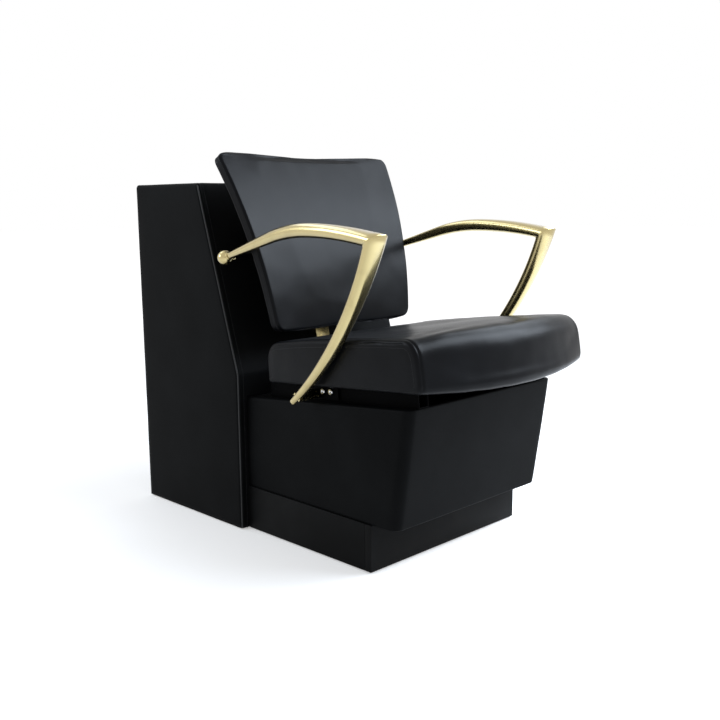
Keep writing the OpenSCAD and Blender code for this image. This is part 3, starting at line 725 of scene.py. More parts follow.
def settle(obj: bpy.types.Object) -> bpy.types.Object:
    """Bakes the modifiers of an object into its mesh.

    Args:
        obj: the object.

    Returns:
        The same object.
    """
    mesh = evaluated(obj)
    obj.modifiers.clear()
    old = obj.data
    obj.data = mesh
    bpy.data.meshes.remove(old)
    mesh.name = obj.name
    return obj


def subdivide(obj: bpy.types.Object) -> None:
    """Subdivides an object once and bakes the result.

    Args:
        obj: the object.
    """
    smooth = obj.modifiers.new("smooth", "SUBSURF")
    smooth.levels = smooth.render_levels = 1
    settle(obj)


def dress(obj: bpy.types.Object, finish: Finish) -> None:
    """Gives a finished piece its material and its body.

    Args:
        obj: the piece.
        finish: its finish.
    """
    obj.data.materials.clear()
    obj.data.materials.append(finish.material)
    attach(obj, BODY)
    log.info("piece %s: %d vertices, %s", obj.name, len(obj.data.vertices), finish.value.name)


def dress_nodes(nodes: dict[str, bpy.types.Object], finish: Finish, names: list[str]) -> None:
    """Gives CAD nodes that stay their material.

    Args:
        nodes: the frame's nodes.
        finish: their finish.
        names: the nodes' names.
    """
    for name in names:
        mesh = nodes[name].data
        mesh.materials.clear()
        mesh.materials.append(finish.material)
        log.info("node %s: %s", name, finish.value.name)


def eased_copy(name: str, node: bpy.types.Object, width: float) -> bpy.types.Object:
    """A copy of a rigid CAD node with its sharp edges eased.

    Args:
        name: the piece's name.
        node: the CAD node.
        width: the width of the rounding in metres.

    Returns:
        The piece.
    """
    shell = bmesh.new()
    shell.from_mesh(node.data)
    bmesh.ops.remove_doubles(shell, verts=shell.verts, dist=1e-6)
    bmesh.ops.dissolve_limit(shell, angle_limit=math.radians(1), verts=shell.verts, edges=shell.edges)
    bmesh.ops.recalc_face_normals(shell, faces=shell.faces)
    mesh = bpy.data.meshes.new(name)
    shell.to_mesh(mesh)
    shell.free()
    made = linked(name, mesh)
    bevel = made.modifiers.new("eased", "BEVEL")
    bevel.width, bevel.segments, bevel.limit_method = width, 3, "ANGLE"
    bevel.harden_normals = True
    mesh.shade_smooth()
    return settle(made)


# What repeats or follows a path


class Tree:
    """A Geometry Nodes tree with named inputs."""

    def __init__(self, name: str) -> None:
        """Starts a tree that takes and gives geometry.

        Args:
            name: the tree's name.
        """
        self.group = bpy.data.node_groups.new(name, "GeometryNodeTree")
        self.graph = Graph(self.group)
        self.sockets: dict[str, bpy.types.NodeTreeInterfaceSocket] = {}
        self._add("Geometry", "INPUT", "NodeSocketGeometry")
        self._add("Geometry", "OUTPUT", "NodeSocketGeometry")

    def _add(self, name: str, way: str, kind: str) -> None:
        """Adds a socket to the tree's interface.

        Args:
            name: the socket's name.
            way: INPUT or OUTPUT.
            kind: the socket's type.
        """
        made = self.group.interface.new_socket(name=name, in_out=way, socket_type=kind)
        if way == "INPUT":
            self.sockets[name] = made

    def inputs(self, **kinds: str) -> bpy.types.Node:
        """Adds named inputs.

        Args:
            **kinds: each input's name and socket type.

        Returns:
            The Group Input node.
        """
        for name, kind in kinds.items():
            self._add(name, "INPUT", kind)
        return self.graph.node("NodeGroupInput")

    def end(self, geometry: bpy.types.NodeSocket, material: bpy.types.NodeSocket) -> None:
        """Ends the tree with real geometry and its material.

        Args:
            geometry: what the tree has made.
            material: the material input.
        """
        real = self.graph.node("GeometryNodeRealizeInstances", None, {"Geometry": geometry}).outputs[0]
        done = self.graph.node("GeometryNodeSetMaterial", None, {"Geometry": real, "Material": material})
        self.graph.node("NodeGroupOutput", None, {0: done.outputs[0]})

    def run(self, name: str, mesh: bpy.types.Mesh, **values: Any) -> bpy.types.Object:
        """Runs the tree on a mesh.

        Args:
            name: the name of the piece that it makes.
            mesh: the points or lines that it starts from.
            **values: the named inputs.

        Returns:
            The piece, as a plain mesh.
        """
        made = linked(name, mesh)
        modifier = made.modifiers.new("tree", "NODES")
        modifier.node_group = self.group
        for key, value in values.items():
            modifier[self.sockets[key].identifier] = value
        return settle(made)


def lines_mesh(name: str, lines: list[np.ndarray], closed: bool) -> bpy.types.Mesh:
    """Lines as a mesh of edges.

    Args:
        name: the mesh's name.
        lines: the lines' points in metres.
        closed: each line returns to its start.

    Returns:
        The mesh.
    """
    points, edges = [], []
    for line in lines:
        start = len(points)
        points += [tuple(p) for p in line]
        edges += [(start + i, start + i + 1) for i in range(len(line) - 1)]
        if closed:
            edges.append((start + len(line) - 1, start))
    mesh = bpy.data.meshes.new(name)
    mesh.from_pydata(points, edges, [])
    return mesh


def welt_tree() -> Tree:
    """A tree that sweeps a round welt along lines.

    Returns:
        The tree.
    """
    tree = Tree("welt")
    given = tree.inputs(Radius="NodeSocketFloat", Sides="NodeSocketInt", Material="NodeSocketMaterial")
    graph = tree.graph
    line = graph.node("GeometryNodeMeshToCurve", None, {"Mesh": given.outputs["Geometry"]})
    ring = graph.node(
        "GeometryNodeCurvePrimitiveCircle",
        None,
        {"Resolution": given.outputs["Sides"], "Radius": given.outputs["Radius"]},
    )
    swept = graph.node(
        "GeometryNodeCurveToMesh",
        None,
        {"Curve": line.outputs[0], "Profile Curve": ring.outputs[0], "Fill Caps": True},
    )
    tree.end(swept.outputs[0], given.outputs["Material"])
    return tree


def stitch_tree() -> Tree:
    """A tree that lays stitches of one length along lines.

    Returns:
        The tree.
    """
    tree = Tree("stitches")
    given = tree.inputs(
        Pitch="NodeSocketFloat",
        Length="NodeSocketFloat",
        Radius="NodeSocketFloat",
        Material="NodeSocketMaterial",
    )
    graph = tree.graph
    line = graph.node("GeometryNodeMeshToCurve", None, {"Mesh": given.outputs["Geometry"]})
    spacing = {"Curve": line.outputs[0], "Length": given.outputs["Pitch"]}
    spaced = graph.node("GeometryNodeResampleCurve", {"mode": "LENGTH"}, spacing)
    bead = graph.node("GeometryNodeMeshUVSphere", None, {"Segments": 6, "Rings": 5, "Radius": 1.0})
    along = graph.node("GeometryNodeInputTangent")
    turned = graph.node("FunctionNodeAlignRotationToVector", {"axis": "X"}, {"Vector": along.outputs[0]})
    thin = given.outputs["Radius"]
    size = graph.node(
        "ShaderNodeCombineXYZ", None, {"X": graph.value(given, "Length") * 0.5, "Y": thin, "Z": thin}
    )
    placed = graph.node(
        "GeometryNodeInstanceOnPoints",
        None,
        {
            "Points": spaced.outputs[0],
            "Instance": bead.outputs["Mesh"],
            "Rotation": turned.outputs[0],
            "Scale": size.outputs[0],
        },
    )
    tree.end(placed.outputs[0], given.outputs["Material"])
    return tree


class Recess(Enum):
    """What a tool grips in a fastener's head."""

    CROSS = "cross"
    HEXAGON = "hexagon"


def fastener_tree(recess: Recess) -> Tree:
    """A tree that sets a head at each point, along the point's axis attribute.

    Args:
        recess: what is cut into the head.

    Returns:
        The tree.
    """
    tree = Tree(f"fasteners_{recess.value}")
    given = tree.inputs(
        Radius="NodeSocketFloat",
        Height="NodeSocketFloat",
        Sides="NodeSocketInt",
        Chamfer="NodeSocketFloat",
        Material="NodeSocketMaterial",
    )
    graph = tree.graph
    radius = graph.value(given, "Radius")
    height = graph.value(given, "Height")
    inner = radius - graph.value(given, "Chamfer")
    rim = height - graph.value(given, "Chamfer")
    barrel = graph.node(
        "GeometryNodeMeshCylinder",
        None,
        {"Vertices": given.outputs["Sides"], "Radius": radius, "Depth": rim},
    )
    cap = graph.node(
        "GeometryNodeMeshCone",
        None,
        {
            "Vertices": given.outputs["Sides"],
            "Radius Top": inner,
            "Radius Bottom": radius,
            "Depth": graph.value(given, "Chamfer"),
        },
    )
    low = graph.node("ShaderNodeCombineXYZ", None, {"Z": rim * 0.5})
    high = graph.node("ShaderNodeCombineXYZ", None, {"Z": rim})
    parts = [
        graph.node("GeometryNodeTransform", None, {"Geometry": g, "Translation": t.outputs[0]}).outputs[0]
        for g, t in ((barrel.outputs["Mesh"], low), (cap.outputs["Mesh"], high))
    ]
    join = graph.node("GeometryNodeJoinGeometry")
    for part in parts:
        graph.tree.links.new(part, join.inputs[0])
    top = graph.node("ShaderNodeCombineXYZ", None, {"Z": height})
    deep, long, slot = height * 1.1, radius * 1.1, radius * 0.26
    if recess is Recess.HEXAGON:
        sockets = {"Vertices": 6, "Radius": radius * 0.5, "Depth": deep}
        cutter = graph.node("GeometryNodeMeshCylinder", None, sockets).outputs["Mesh"]
    else:
        bars = graph.node("GeometryNodeJoinGeometry")
        for x, y in ((long, slot), (slot, long)):
            size = graph.node("ShaderNodeCombineXYZ", None, {"X": x, "Y": y, "Z": deep})
            bar = graph.node("GeometryNodeMeshCube", None, {"Size": size.outputs[0]})
            graph.tree.links.new(bar.outputs["Mesh"], bars.inputs[0])
        cutter = bars.outputs[0]
    raised = graph.node("GeometryNodeTransform", None, {"Geometry": cutter, "Translation": top.outputs[0]})
    ways = {"operation": "DIFFERENCE", "solver": "EXACT"}
    cut = graph.node("GeometryNodeMeshBoolean", ways, {"Self Intersection": True})
    graph.tree.links.new(join.outputs[0], cut.inputs["Mesh 1"])
    graph.tree.links.new(raised.outputs[0], cut.inputs["Mesh 2"])
    axis = graph.node("GeometryNodeInputNamedAttribute", {"data_type": "FLOAT_VECTOR"}, {"Name": "axis"})
    turned = graph.node("FunctionNodeAlignRotationToVector", {"axis": "Z"}, {"Vector": axis.outputs[0]})
    points = graph.node("GeometryNodeMeshToPoints", None, {"Mesh": given.outputs["Geometry"]})
    placed = graph.node(
        "GeometryNodeInstanceOnPoints",
        None,
        {"Points": points.outputs[0], "Instance": cut.outputs["Mesh"], "Rotation": turned.outputs[0]},
    )
    tree.end(placed.outputs[0], given.outputs["Material"])
    return tree


def heads(
    name: str,
    recess: Recess,
    places: np.ndarray,
    axes: np.ndarray,
    finish: Finish,
    radius: float,
    height: float,
) -> bpy.types.Object:
    """Fastener heads on places in the frame.

    Args:
        name: the piece's name.
        recess: what is cut into the heads.
        places: where each head's flat underside lies.
        axes: the way that each head faces.
        finish: their finish.
        radius: the head's radius in metres.
        height: the head's height in metres.

    Returns:
        The piece.
    """
    mesh = bpy.data.meshes.new(name)
    mesh.from_pydata([tuple(p) for p in places], [], [])
    axis = mesh.attributes.new("axis", "FLOAT_VECTOR", "POINT")
    axis.data.foreach_set("vector", np.asarray(axes, np.float32).ravel())
    made = fastener_tree(recess).run(
        name,
        mesh,
        Radius=radius,
        Height=height,
        Sides=HEAD_SIDES,
        Chamfer=min(radius, height) * 0.22,
        Material=finish.material,
    )
    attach(made, BODY)
    log.info("piece %s: %d heads", name, len(places))
    return made


@dataclass(frozen=True)
class Seam:
    """A sewn seam: lines in the frame, whether they close, and how they are sewn."""

    lines: list[np.ndarray]
    closed: bool = False
    groove: float = 0.0014
    groove_half: float = 0.0026
    stitch: float = 0.0035
    gap: float = 0.0012
    thread: float = 0.00035

    def press(self, obj: bpy.types.Object) -> None:
        """Pulls the surface of a piece in along the seam.

        Args:
            obj: the padded piece.
        """
        points, out = points_of(obj.data), normals_of(obj.data)
        near = distance_to(points, self.lines)
        depth = self.groove * np.exp(-((near / self.groove_half) ** 2))
        set_points(obj.data, points - out * depth[:, None])

    def on(
        self, obj: bpy.types.Object, aside: float = 0.0, towards: Vector | None = None
    ) -> list[np.ndarray]:
        """The seam's lines laid on the surface of a piece.

        Args:
            obj: the piece.
            aside: how far beside the seam, in metres.
            towards: a point on the side meant by aside.

        Returns:
            The lines.
        """
        tree = BVHTree.FromObject(obj, bpy.context.evaluated_depsgraph_get())
        laid = []
        for line in self.lines:
            run = np.gradient(line, axis=0)
            found = []
            for p, t in zip(line, run):
                spot, normal, _, _ = tree.find_nearest(Vector(p))
                if aside:
                    side = normal.cross(Vector(t)).normalized()
                    if towards is not None and side.dot(towards - spot) < 0:
                        side.negate()
                    spot = tree.find_nearest(spot + side * aside)[0]
                found.append(np.array(spot))
            laid.append(np.array(found))
        return laid


def sew(name: str, seam: Seam, lines: list[np.ndarray]) -> None:
    """Lays a seam's stitches as one piece.

    Args:
        name: the piece's name.
        seam: how they are sewn.
        lines: the lines that they follow on the surface.
    """
    made = stitch_tree().run(
        name,
        lines_mesh(name, lines, seam.closed),
        Pitch=seam.stitch + seam.gap,
        Length=seam.stitch,
        Radius=seam.thread,
        Material=Finish.THREAD.material,
    )
    made.data.shade_smooth()
    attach(made, BODY)
    log.info("piece %s: %d vertices", name, len(made.data.vertices))


# Soft goods


@dataclass(frozen=True)
class Stuffing:
    """Blows a leatherette skin up against its seams, as foam fills it."""

    pressure: float = 4.0
    frames: int = 18
    tension: float = 0.003
    cap: float = 0.004
    inset: float = 0.0018
    seam_reach: float = 0.006

    def held_by(self, near: np.ndarray) -> np.ndarray:
        """How firmly a seam holds the skin at a distance from it, from 0 to 1."""
        return np.exp(-((near / self.seam_reach) ** 2))

    def fill(self, obj: bpy.types.Object, held: np.ndarray) -> None:
        """Runs the cloth simulation and keeps its result.

        Args:
            obj: the closed skin.
            held: how firmly each vertex is held, from 0 to 1.
        """
        start = points_of(obj.data)
        set_points(obj.data, start - normals_of(obj.data) * (self.inset * (1.0 - held))[:, None])
        group = obj.vertex_groups.new(name="held")
        for weight in np.unique(np.round(held, 1)):
            if weight > 0:
                chosen = np.nonzero(np.isclose(np.round(held, 1), weight))[0]
                group.add([int(i) for i in chosen], float(weight), "REPLACE")
        cloth = obj.modifiers.new("cloth", "CLOTH")
        settings = cloth.settings
        settings.quality = 5
        settings.mass = 0.3
        settings.air_damping = 4.0
        settings.tension_stiffness = settings.compression_stiffness = 30.0
        settings.shear_stiffness = 20.0
        settings.bending_stiffness = 12.0
        settings.tension_damping = settings.compression_damping = 15.0
        settings.shrink_min = self.tension
        settings.use_pressure = True
        settings.uniform_pressure_force = self.pressure
        settings.vertex_group_mass = "held"
        settings.pin_stiffness = 1.0
        settings.effector_weights.gravity = 0.0
        cloth.collision_settings.use_collision = False
        cloth.collision_settings.use_self_collision = False
        scene = bpy.context.scene
        cloth.point_cache.frame_start, cloth.point_cache.frame_end = 1, self.frames
        for frame in range(1, self.frames + 1):
            scene.frame_set(frame)
        mesh = evaluated(obj)
        moved = points_of(mesh)
        bpy.data.meshes.remove(mesh)
        obj.modifiers.clear()
        obj.vertex_groups.clear()
        scene.frame_set(1)
        step = moved - start
        far = np.linalg.norm(step, axis=1, keepdims=True)
        set_points(obj.data, start + step * np.minimum(1.0, self.cap / np.maximum(far, 1e-9)))
        log.info("%s filled: mean %.1f mm, most %.1f mm", obj.name, far.mean() / MM, far.max() / MM)


def facing(normal: np.ndarray) -> np.ndarray:
    """How far faces are turned along an axis, from 0 to 1, by that part of their normals."""
    return ease((normal - 0.6) / 0.3)


def ripple(obj: bpy.types.Object, height: float, size: float) -> None:
    """Gives a soft surface slow unevenness.

    Args:
        obj: the piece.
        height: the most that it moves, in metres.
        size: the size of the unevenness, in metres.
    """
    points, out = points_of(obj.data), normals_of(obj.data)
    wave = np.array([noise.noise(Vector(p / size)) for p in points])
    set_points(obj.data, points + out * (wave * height)[:, None])


# The chair's sub-assemblies


@dataclass(frozen=True)
class Slope:
    """The sloping plane of the base's upper edge, on which the seat is drawn."""

    rear_h: float = 329.0
    front_h: float = 375.0
    depth: float = 527.0

    @property
    def angle(self) -> float:
        """The slope in radians."""
        return math.atan((self.front_h - self.rear_h) / self.depth)

    def raise_points(self, points: np.ndarray, lift: float = 0.0) -> np.ndarray:
        """Carries points drawn on the slope to the drawing.

        Args:
            points: X, Y and height over the slope.
            lift: added to the height.

        Returns:
            The drawing's points.
        """
        x, y, z = points[..., 0], points[..., 1], points[..., 2] + lift
        c, s = math.cos(self.angle), math.sin(self.angle)
        return np.stack([x, y * c + z * s, self.rear_h - y * s + z * c], axis=-1)


@dataclass
class SeatPad:
    """The seat cushion: one wrapped main panel, and a boxed panel at each side."""

    drawing: Drawing
    slope: Slope
    front_w: float = 580.0
    rear_w: float = 524.0
    length: float = 498.0
    set_back: float = 95.0
    thick: float = 109.0
    bow: float = 48.0
    bow_start: float = 300.0
    roll: float = 10.0
    nose_d: float = 40.0
    nose_h: float = 47.0
    front_lean: float = 4.0
    foot_d: float = 14.0
    foot_h: float = 16.0
    rear_roll: float = 44.0
    rear_drop: float = 0.14
    front_sag: float = 15.0
    sag_run: float = 60.0
    corner_r: float = 9.0
    top_stitch: float = 8.5
    side_puff: float = 3.0
    crown_lead: float = 40.0
    crown_rise: float = 1.6
    hollow: float = 9.0
    hollow_s: float = 235.0
    hollow_run: float = 120.0
    hollow_w: float = 190.0
    rail_h: float = 40.0
    clear: float = 0.3
    seam_in: float = 0.6
    seam_share: float = 0.75
    seam_foot: float = 8.0
    seam_points: int = 260
    around: int = 196
    across: int = 78
    stuffing: Stuffing = field(default_factory=Stuffing)

    def half_w(self, s: np.ndarray) -> np.ndarray:
        """Half the cushion's width at the place s."""
        return (self.rear_w + (self.front_w - self.rear_w) * (s - self.set_back) / self.length) / 2.0

    def top(self, s: np.ndarray) -> np.ndarray:
        """Height of the top seam over the underside at the place s."""
        back = np.clip(1.0 - (s - self.set_back) / self.length, 0.0, None)
        return self.thick * (1.0 - self.rear_drop * back**3)

    def outline(self) -> np.ndarray:
        """The side outline: underside to the front, front roll, top and rear, evenly spaced.

        Returns:
            Its points, as the place along the seat and the height over the underside.
        """
        end, rear = self.set_back + self.length, self.set_back
        nose_s, nose_z = end - self.front_lean - self.nose_d, self.thick - self.nose_h
        foot_s = end - self.foot_d
        turn = np.linspace(0.0, math.pi / 2, 24)
        lean_s = np.linspace(end, end - self.front_lean, 9)
        top_s = np.linspace(nose_s, rear + self.rear_roll, 60)[1:]
        top_rear = self.top(np.array(rear + self.rear_roll))
        rear_s = rear + self.rear_roll * (1.0 - np.sin(turn))
        rear_z = top_rear - self.rear_roll * (1.0 - np.cos(turn))
        parts = [
            np.stack([np.linspace(rear, foot_s, 60), np.zeros(60)], 1),
            np.stack([foot_s + self.foot_d * np.sin(turn), self.foot_h * (1.0 - np.cos(turn))], 1)[1:],
            np.stack([lean_s, np.linspace(self.foot_h, nose_z, 9)], 1)[1:],
            np.stack([nose_s + self.nose_d * np.cos(turn), nose_z + self.nose_h * np.sin(turn)], 1)[1:],
            np.stack([top_s, self.top(top_s)], 1),
            np.stack([rear_s, rear_z], 1)[1:],
            np.stack([np.full(8, rear), np.linspace(top_rear - self.rear_roll, 0.0, 9)[1:]], 1),
        ]
        return rounded(resample(np.vstack(parts)[:-1], self.around, closed=True), 2)

    def at(self, line: np.ndarray, x: np.ndarray, w: np.ndarray) -> np.ndarray:
        """Puts points of the outline at x: bowed to the front, crowned, hollowed and sagging.

        Args:
            line: places along the slope and heights over it.
            x: the place across.
            w: the half width there.

        Returns:
            The points on the slope.
        """
        s, z = line[:, 0], line[:, 1]
        end = self.set_back + self.length
        v = 1.0 - (x / w) ** 2
        full = 1.0 - (x / w) ** 4
        bow = self.bow * ease((s - self.bow_start) / (end - self.bow_start)) * v
        lead = s - self.bow_start + self.crown_lead
        crown = self.roll * ease(lead / (end - self.nose_d - self.bow_start))
        sag = self.front_sag * ease((s + bow - end + self.sag_run) / self.sag_run)
        up = z / self.thick
        along = (s - self.set_back - self.hollow_s) / self.hollow_run
        sat = np.exp(-(along**2)) * np.exp(-((x / self.hollow_w) ** 4))
        dip = self.hollow * sat * np.clip(up * 4 - 3, 0, 1)
        high = z + crown * up**self.crown_rise * full - sag * v * (1.0 - up) - dip
        return np.stack([x + 0.0 * s, -s - bow, high], 1)

    def side_rings(self, side: int) -> list[np.ndarray]:
        """The rings of one side, from the middle of its panel to the seam.

        Args:
            side: 1 or -1, the side's sign in X.

        Returns:
            The rings.
        """
        line = self.outline()
        mid = line.mean(0)
        rings = []
        for share in (0.06, 0.2, 0.34, 0.48, 0.61, 0.73, 0.83, 0.91):
            q = mid + (line - mid) * share
            w = self.half_w(q[:, 0])
            along = 1.0 - ((q[:, 0] - mid[0]) / (self.length / 2)) ** 4
            upward = 1.0 - ((q[:, 1] - self.thick / 2) / (self.thick / 2)) ** 2
            rings.append(self.at(q, side * (w + self.side_puff * along * upward), w))
        for a in np.radians([0.0, 22.5, 45.0, 67.5, 90.0]):
            q = drawn_in(line, self.corner_r * (1.0 - math.sin(a)))
            w = self.half_w(line[:, 0])
            rings.append(self.at(q, side * (w - self.corner_r * (1.0 - math.cos(a))), w))
        return rings

    def rings(self) -> np.ndarray:
        """All rings from side to side, in the frame.

        Returns:
            The rings.
        """
        line = self.outline()
        w = self.half_w(line[:, 0])
        shares = np.linspace(1, -1, self.across + 2)[1:-1]
        inner = [self.at(line, share * (w - self.corner_r), w) for share in shares]
        rings = self.side_rings(1) + inner + self.side_rings(-1)[::-1]
        return self.drawing.place(self.slope.raise_points(np.array(rings), self.rail_h + self.clear))

    def seam(self, side: int, down: float = 0.0) -> np.ndarray:
        """The seam between the main panel and a side panel, or a row of stitches beside it.

        Args:
            side: 1 for the sitter's left, -1 for the right.
            down: how far down the side panel, in millimetres.

        Returns:
            The line in the frame, from the rear foot over the top to the front foot.
        """
        line = self.outline()
        w = self.half_w(line[:, 0])
        if down:
            ring = self.at(drawn_in(line, self.corner_r + down), side * w, w)
        else:
            ring = self.at(drawn_in(line, self.seam_in), side * (w - self.corner_r * self.seam_share), w)
        shown = line[:, 1] > self.seam_foot
        run = self.drawing.place(self.slope.raise_points(ring, self.rail_h + self.clear))
        start = int(np.nonzero(shown & ~np.roll(shown, 1))[0][0])
        rolled, kept = np.roll(run, -start, 0), np.roll(shown, -start)
        return resample(rolled[kept], self.seam_points)

    def build(self) -> None:
        """Makes the cushion with its seams and stitches."""
        pad = loft("seat_pad", self.rings())
        seams = Seam([self.seam(1), self.seam(-1)], groove=0.0026, groove_half=0.0024)
        rows = [self.seam(side, self.top_stitch) for side in (1, -1)]
        beside = Seam(rows, groove=0.0010, groove_half=0.0020)
        points = points_of(pad.data)
        near = distance_to(points, seams.lines)
        slope_up = np.array([0.0, math.sin(self.slope.angle), math.cos(self.slope.angle)])
        foot = self.drawing.place(self.slope.raise_points(np.array([0.0, 0.0, self.rail_h])))
        over = (points - foot) @ slope_up
        held = np.maximum(self.stuffing.held_by(near), 1.0 - ease((over - 0.004) / 0.020))
        held = np.maximum(held, facing(np.abs(normals_of(pad.data)[:, 0])))
        self.stuffing.fill(pad, held)
        subdivide(pad)
        ripple(pad, 0.0006, 0.045)
        seams.press(pad)
        beside.press(pad)
        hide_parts("seat_cushion")
        dress(pad, Finish.SEAT)
        sew("seat_stitches", beside, beside.on(pad))


@dataclass
class BackPad:
    """The back cushion: a hollowed front panel, a boxed edge and a rear that stands out."""

    drawing: Drawing
    top_w: float = 574.0
    low_w: float = 462.0
    low_z: float = 490.0
    length: float = 452.0
    radius: float = 1000.0
    lean: float = 6.0
    edge_t: float = 32.0
    thick: float = 56.0
    dish: float = 14.0
    corner_r: float = 28.0
    edge_r: float = 11.0
    base_y: float = -97.0
    pad_share: float = 0.35
    dish_low: float = 0.2
    flat_share: float = 0.985
    seam_in: float = 3.2
    stitch_off: float = 4.5
    stuffing: Stuffing = field(default_factory=lambda: Stuffing(cap=0.0035, inset=0.0015))

    @property
    def mid(self) -> np.ndarray:
        """The middle of the back's curve, in Y and Z."""
        a = math.radians(self.lean)
        return np.array([self.base_y + self.radius * math.cos(a), self.low_z - self.radius * math.sin(a)])

    def rows(self) -> list[tuple[float, float]]:
        """Rows along the curve: place, and how far the cushion is drawn in there.

        Returns:
            The rows.
        """
        turn = np.linspace(0.0, math.pi / 2, 6)
        ends = [(self.edge_r * (1 - math.cos(a)), self.edge_r * (1 - math.sin(a))) for a in turn]
        ends += [(s, 0.0) for s in np.linspace(self.edge_r, self.corner_r, 8)[1:]]
        body = [(s, 0.0) for s in np.linspace(self.corner_r, self.length - self.corner_r, 62)[1:-1]]
        return ends + body + [(self.length - s, d) for s, d in reversed(ends)]

    def half_w(self, s: float) -> float:
        """Half width at the place s: tapered, with round corners.

        Args:
            s: the place along the curve.

        Returns:
            The half width.
        """
        w = (self.low_w + (self.top_w - self.low_w) * s / self.length) / 2.0
        e = max(0.0, 1.0 - min(s, self.length - s) / self.corner_r)
        return w - self.corner_r * (1.0 - math.sqrt(max(0.0, 1.0 - e * e)))

    def front_d(self, u: np.ndarray, s: float) -> np.ndarray:
        """Depth of the front at the share u of the half width."""
        return self.dish * (1 - u * u) * math.sin(math.pi * min(0.5, self.dish_low + s / self.length))

    def rear_d(self, u: np.ndarray, s: float) -> np.ndarray:
        """Depth of the rear at the share u of the half width.

        Args:
            u: shares of the half width.
            s: the place along the curve.

        Returns:
            The depths.
        """
        f = float(ease(4 * s / self.length) * ease(4 * (1 - s / self.length)))
        full = self.pad_share + (1 - self.pad_share) * f
        return self.edge_t + (self.thick - self.edge_t) * (1 - u**6) * full

    def at(self, x: np.ndarray, s: np.ndarray, d: np.ndarray) -> np.ndarray:
        """The frame's points at the place s, the width x and the depth d.

        Args:
            x: places across.
            s: places along the curve.
            d: depths behind the curve.

        Returns:
            The points.
        """
        a = math.radians(self.lean) + np.asarray(s) / self.radius
        r = self.radius - np.asarray(d)
        x = np.asarray(x) + 0.0 * r
        y, z = self.mid[0] - r * np.cos(a), self.mid[1] + r * np.sin(a)
        return self.drawing.place(np.stack([x, y, z], -1))

    def ring(self, s: float, drawn: float) -> np.ndarray:
        """One ring round the cushion: front, edge, rear, edge.

        Args:
            s: the place along the curve.
            drawn: how far the ring is drawn in.

        Returns:
            The ring.
        """
        w, mid = self.half_w(s), self.edge_t / 2
        us = np.linspace(-1, 1, 63)[1:-1] * self.flat_share
        turn = np.linspace(0.0, math.pi / 2, 6)
        edge = [(w - self.edge_r + self.edge_r * math.sin(a), self.edge_r * (1 - math.cos(a))) for a in turn]
        edge += [(w, d) for d in np.linspace(self.edge_r, self.edge_t - self.edge_r, 5)[1:-1]]
        edge += [(x, self.edge_t - d) for x, d in reversed(edge[: len(turn)])]
        inner = w - self.edge_r
        flat = [(u * inner, d) for u, d in zip(us, self.front_d(us, s))]
        flat += edge
        flat += [(u * inner, d) for u, d in zip(us[::-1], self.rear_d(us[::-1], s))]
        flat += [(-x, d) for x, d in reversed(edge)]
        x, d = np.array(flat).T
        return self.at(x, s, mid + (d - mid) * (1 - drawn / mid))

    def border(self, inset: float, depth: float) -> np.ndarray:
        """A closed line round the cushion, drawn in from its outline, at one depth.

        Args:
            inset: how far it is drawn in.
            depth: the depth behind the curve.

        Returns:
            The line.
        """
        s = np.linspace(0, self.length, 1200)
        w = np.array([self.half_w(v) for v in s])
        right = np.stack([w, s], 1)
        left = np.stack([-w[::-1], s[::-1]], 1)
        line = rounded(drawn_in(resample(np.vstack([right, left]), 900, closed=True), inset), 4)
        return self.at(line[:, 0], line[:, 1], np.full(len(line), depth))

    def build(self) -> None:
        """Makes the cushion with its seams and stitches."""
        pad = loft("back_pad", np.array([self.ring(s, d) for s, d in self.rows()]))
        front = self.border(self.seam_in, self.seam_in)
        rear = self.border(self.seam_in, self.edge_t - self.seam_in)
        seams = Seam([front, rear], closed=True, groove=0.0018, groove_half=0.0028)
        near = distance_to(points_of(pad.data), seams.lines)
        held = np.maximum(self.stuffing.held_by(near), facing(normals_of(pad.data)[:, 1]))
        self.stuffing.fill(pad, held)
        subdivide(pad)
        ripple(pad, 0.0005, 0.05)
        seams.press(pad)
        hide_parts("back_cushion")
        dress(pad, Finish.SEAT)
        edge_mid = self.border(0.0, self.edge_t / 2)
        sew("back_stitches", seams, [self.beside(pad, line, edge_mid) for line in (front, rear)])

    def beside(self, pad: bpy.types.Object, line: np.ndarray, towards: np.ndarray) -> np.ndarray:
        """A line on the pad, beside a seam and on the side of another line.

        Args:
            pad: the cushion.
            line: the seam.
            towards: the other line, point by point.

        Returns:
            The line on the surface.
        """
        tree = BVHTree.FromObject(pad, bpy.context.evaluated_depsgraph_get())
        found = []
        for p, q in zip(line, towards):
            way = Vector(q) - Vector(p)
            way.normalize()
            spot = tree.find_nearest(Vector(p) + way * (self.stitch_off * MM))[0]
            found.append(np.array(spot))
        return np.array(found)


class Station(NamedTuple):
    """A station of an arm: its centre in Y and Z, its slope, its half sizes and its squareness."""

    centre: np.ndarray
    slope: float
    half_w: float
    half_t: float
    power: float


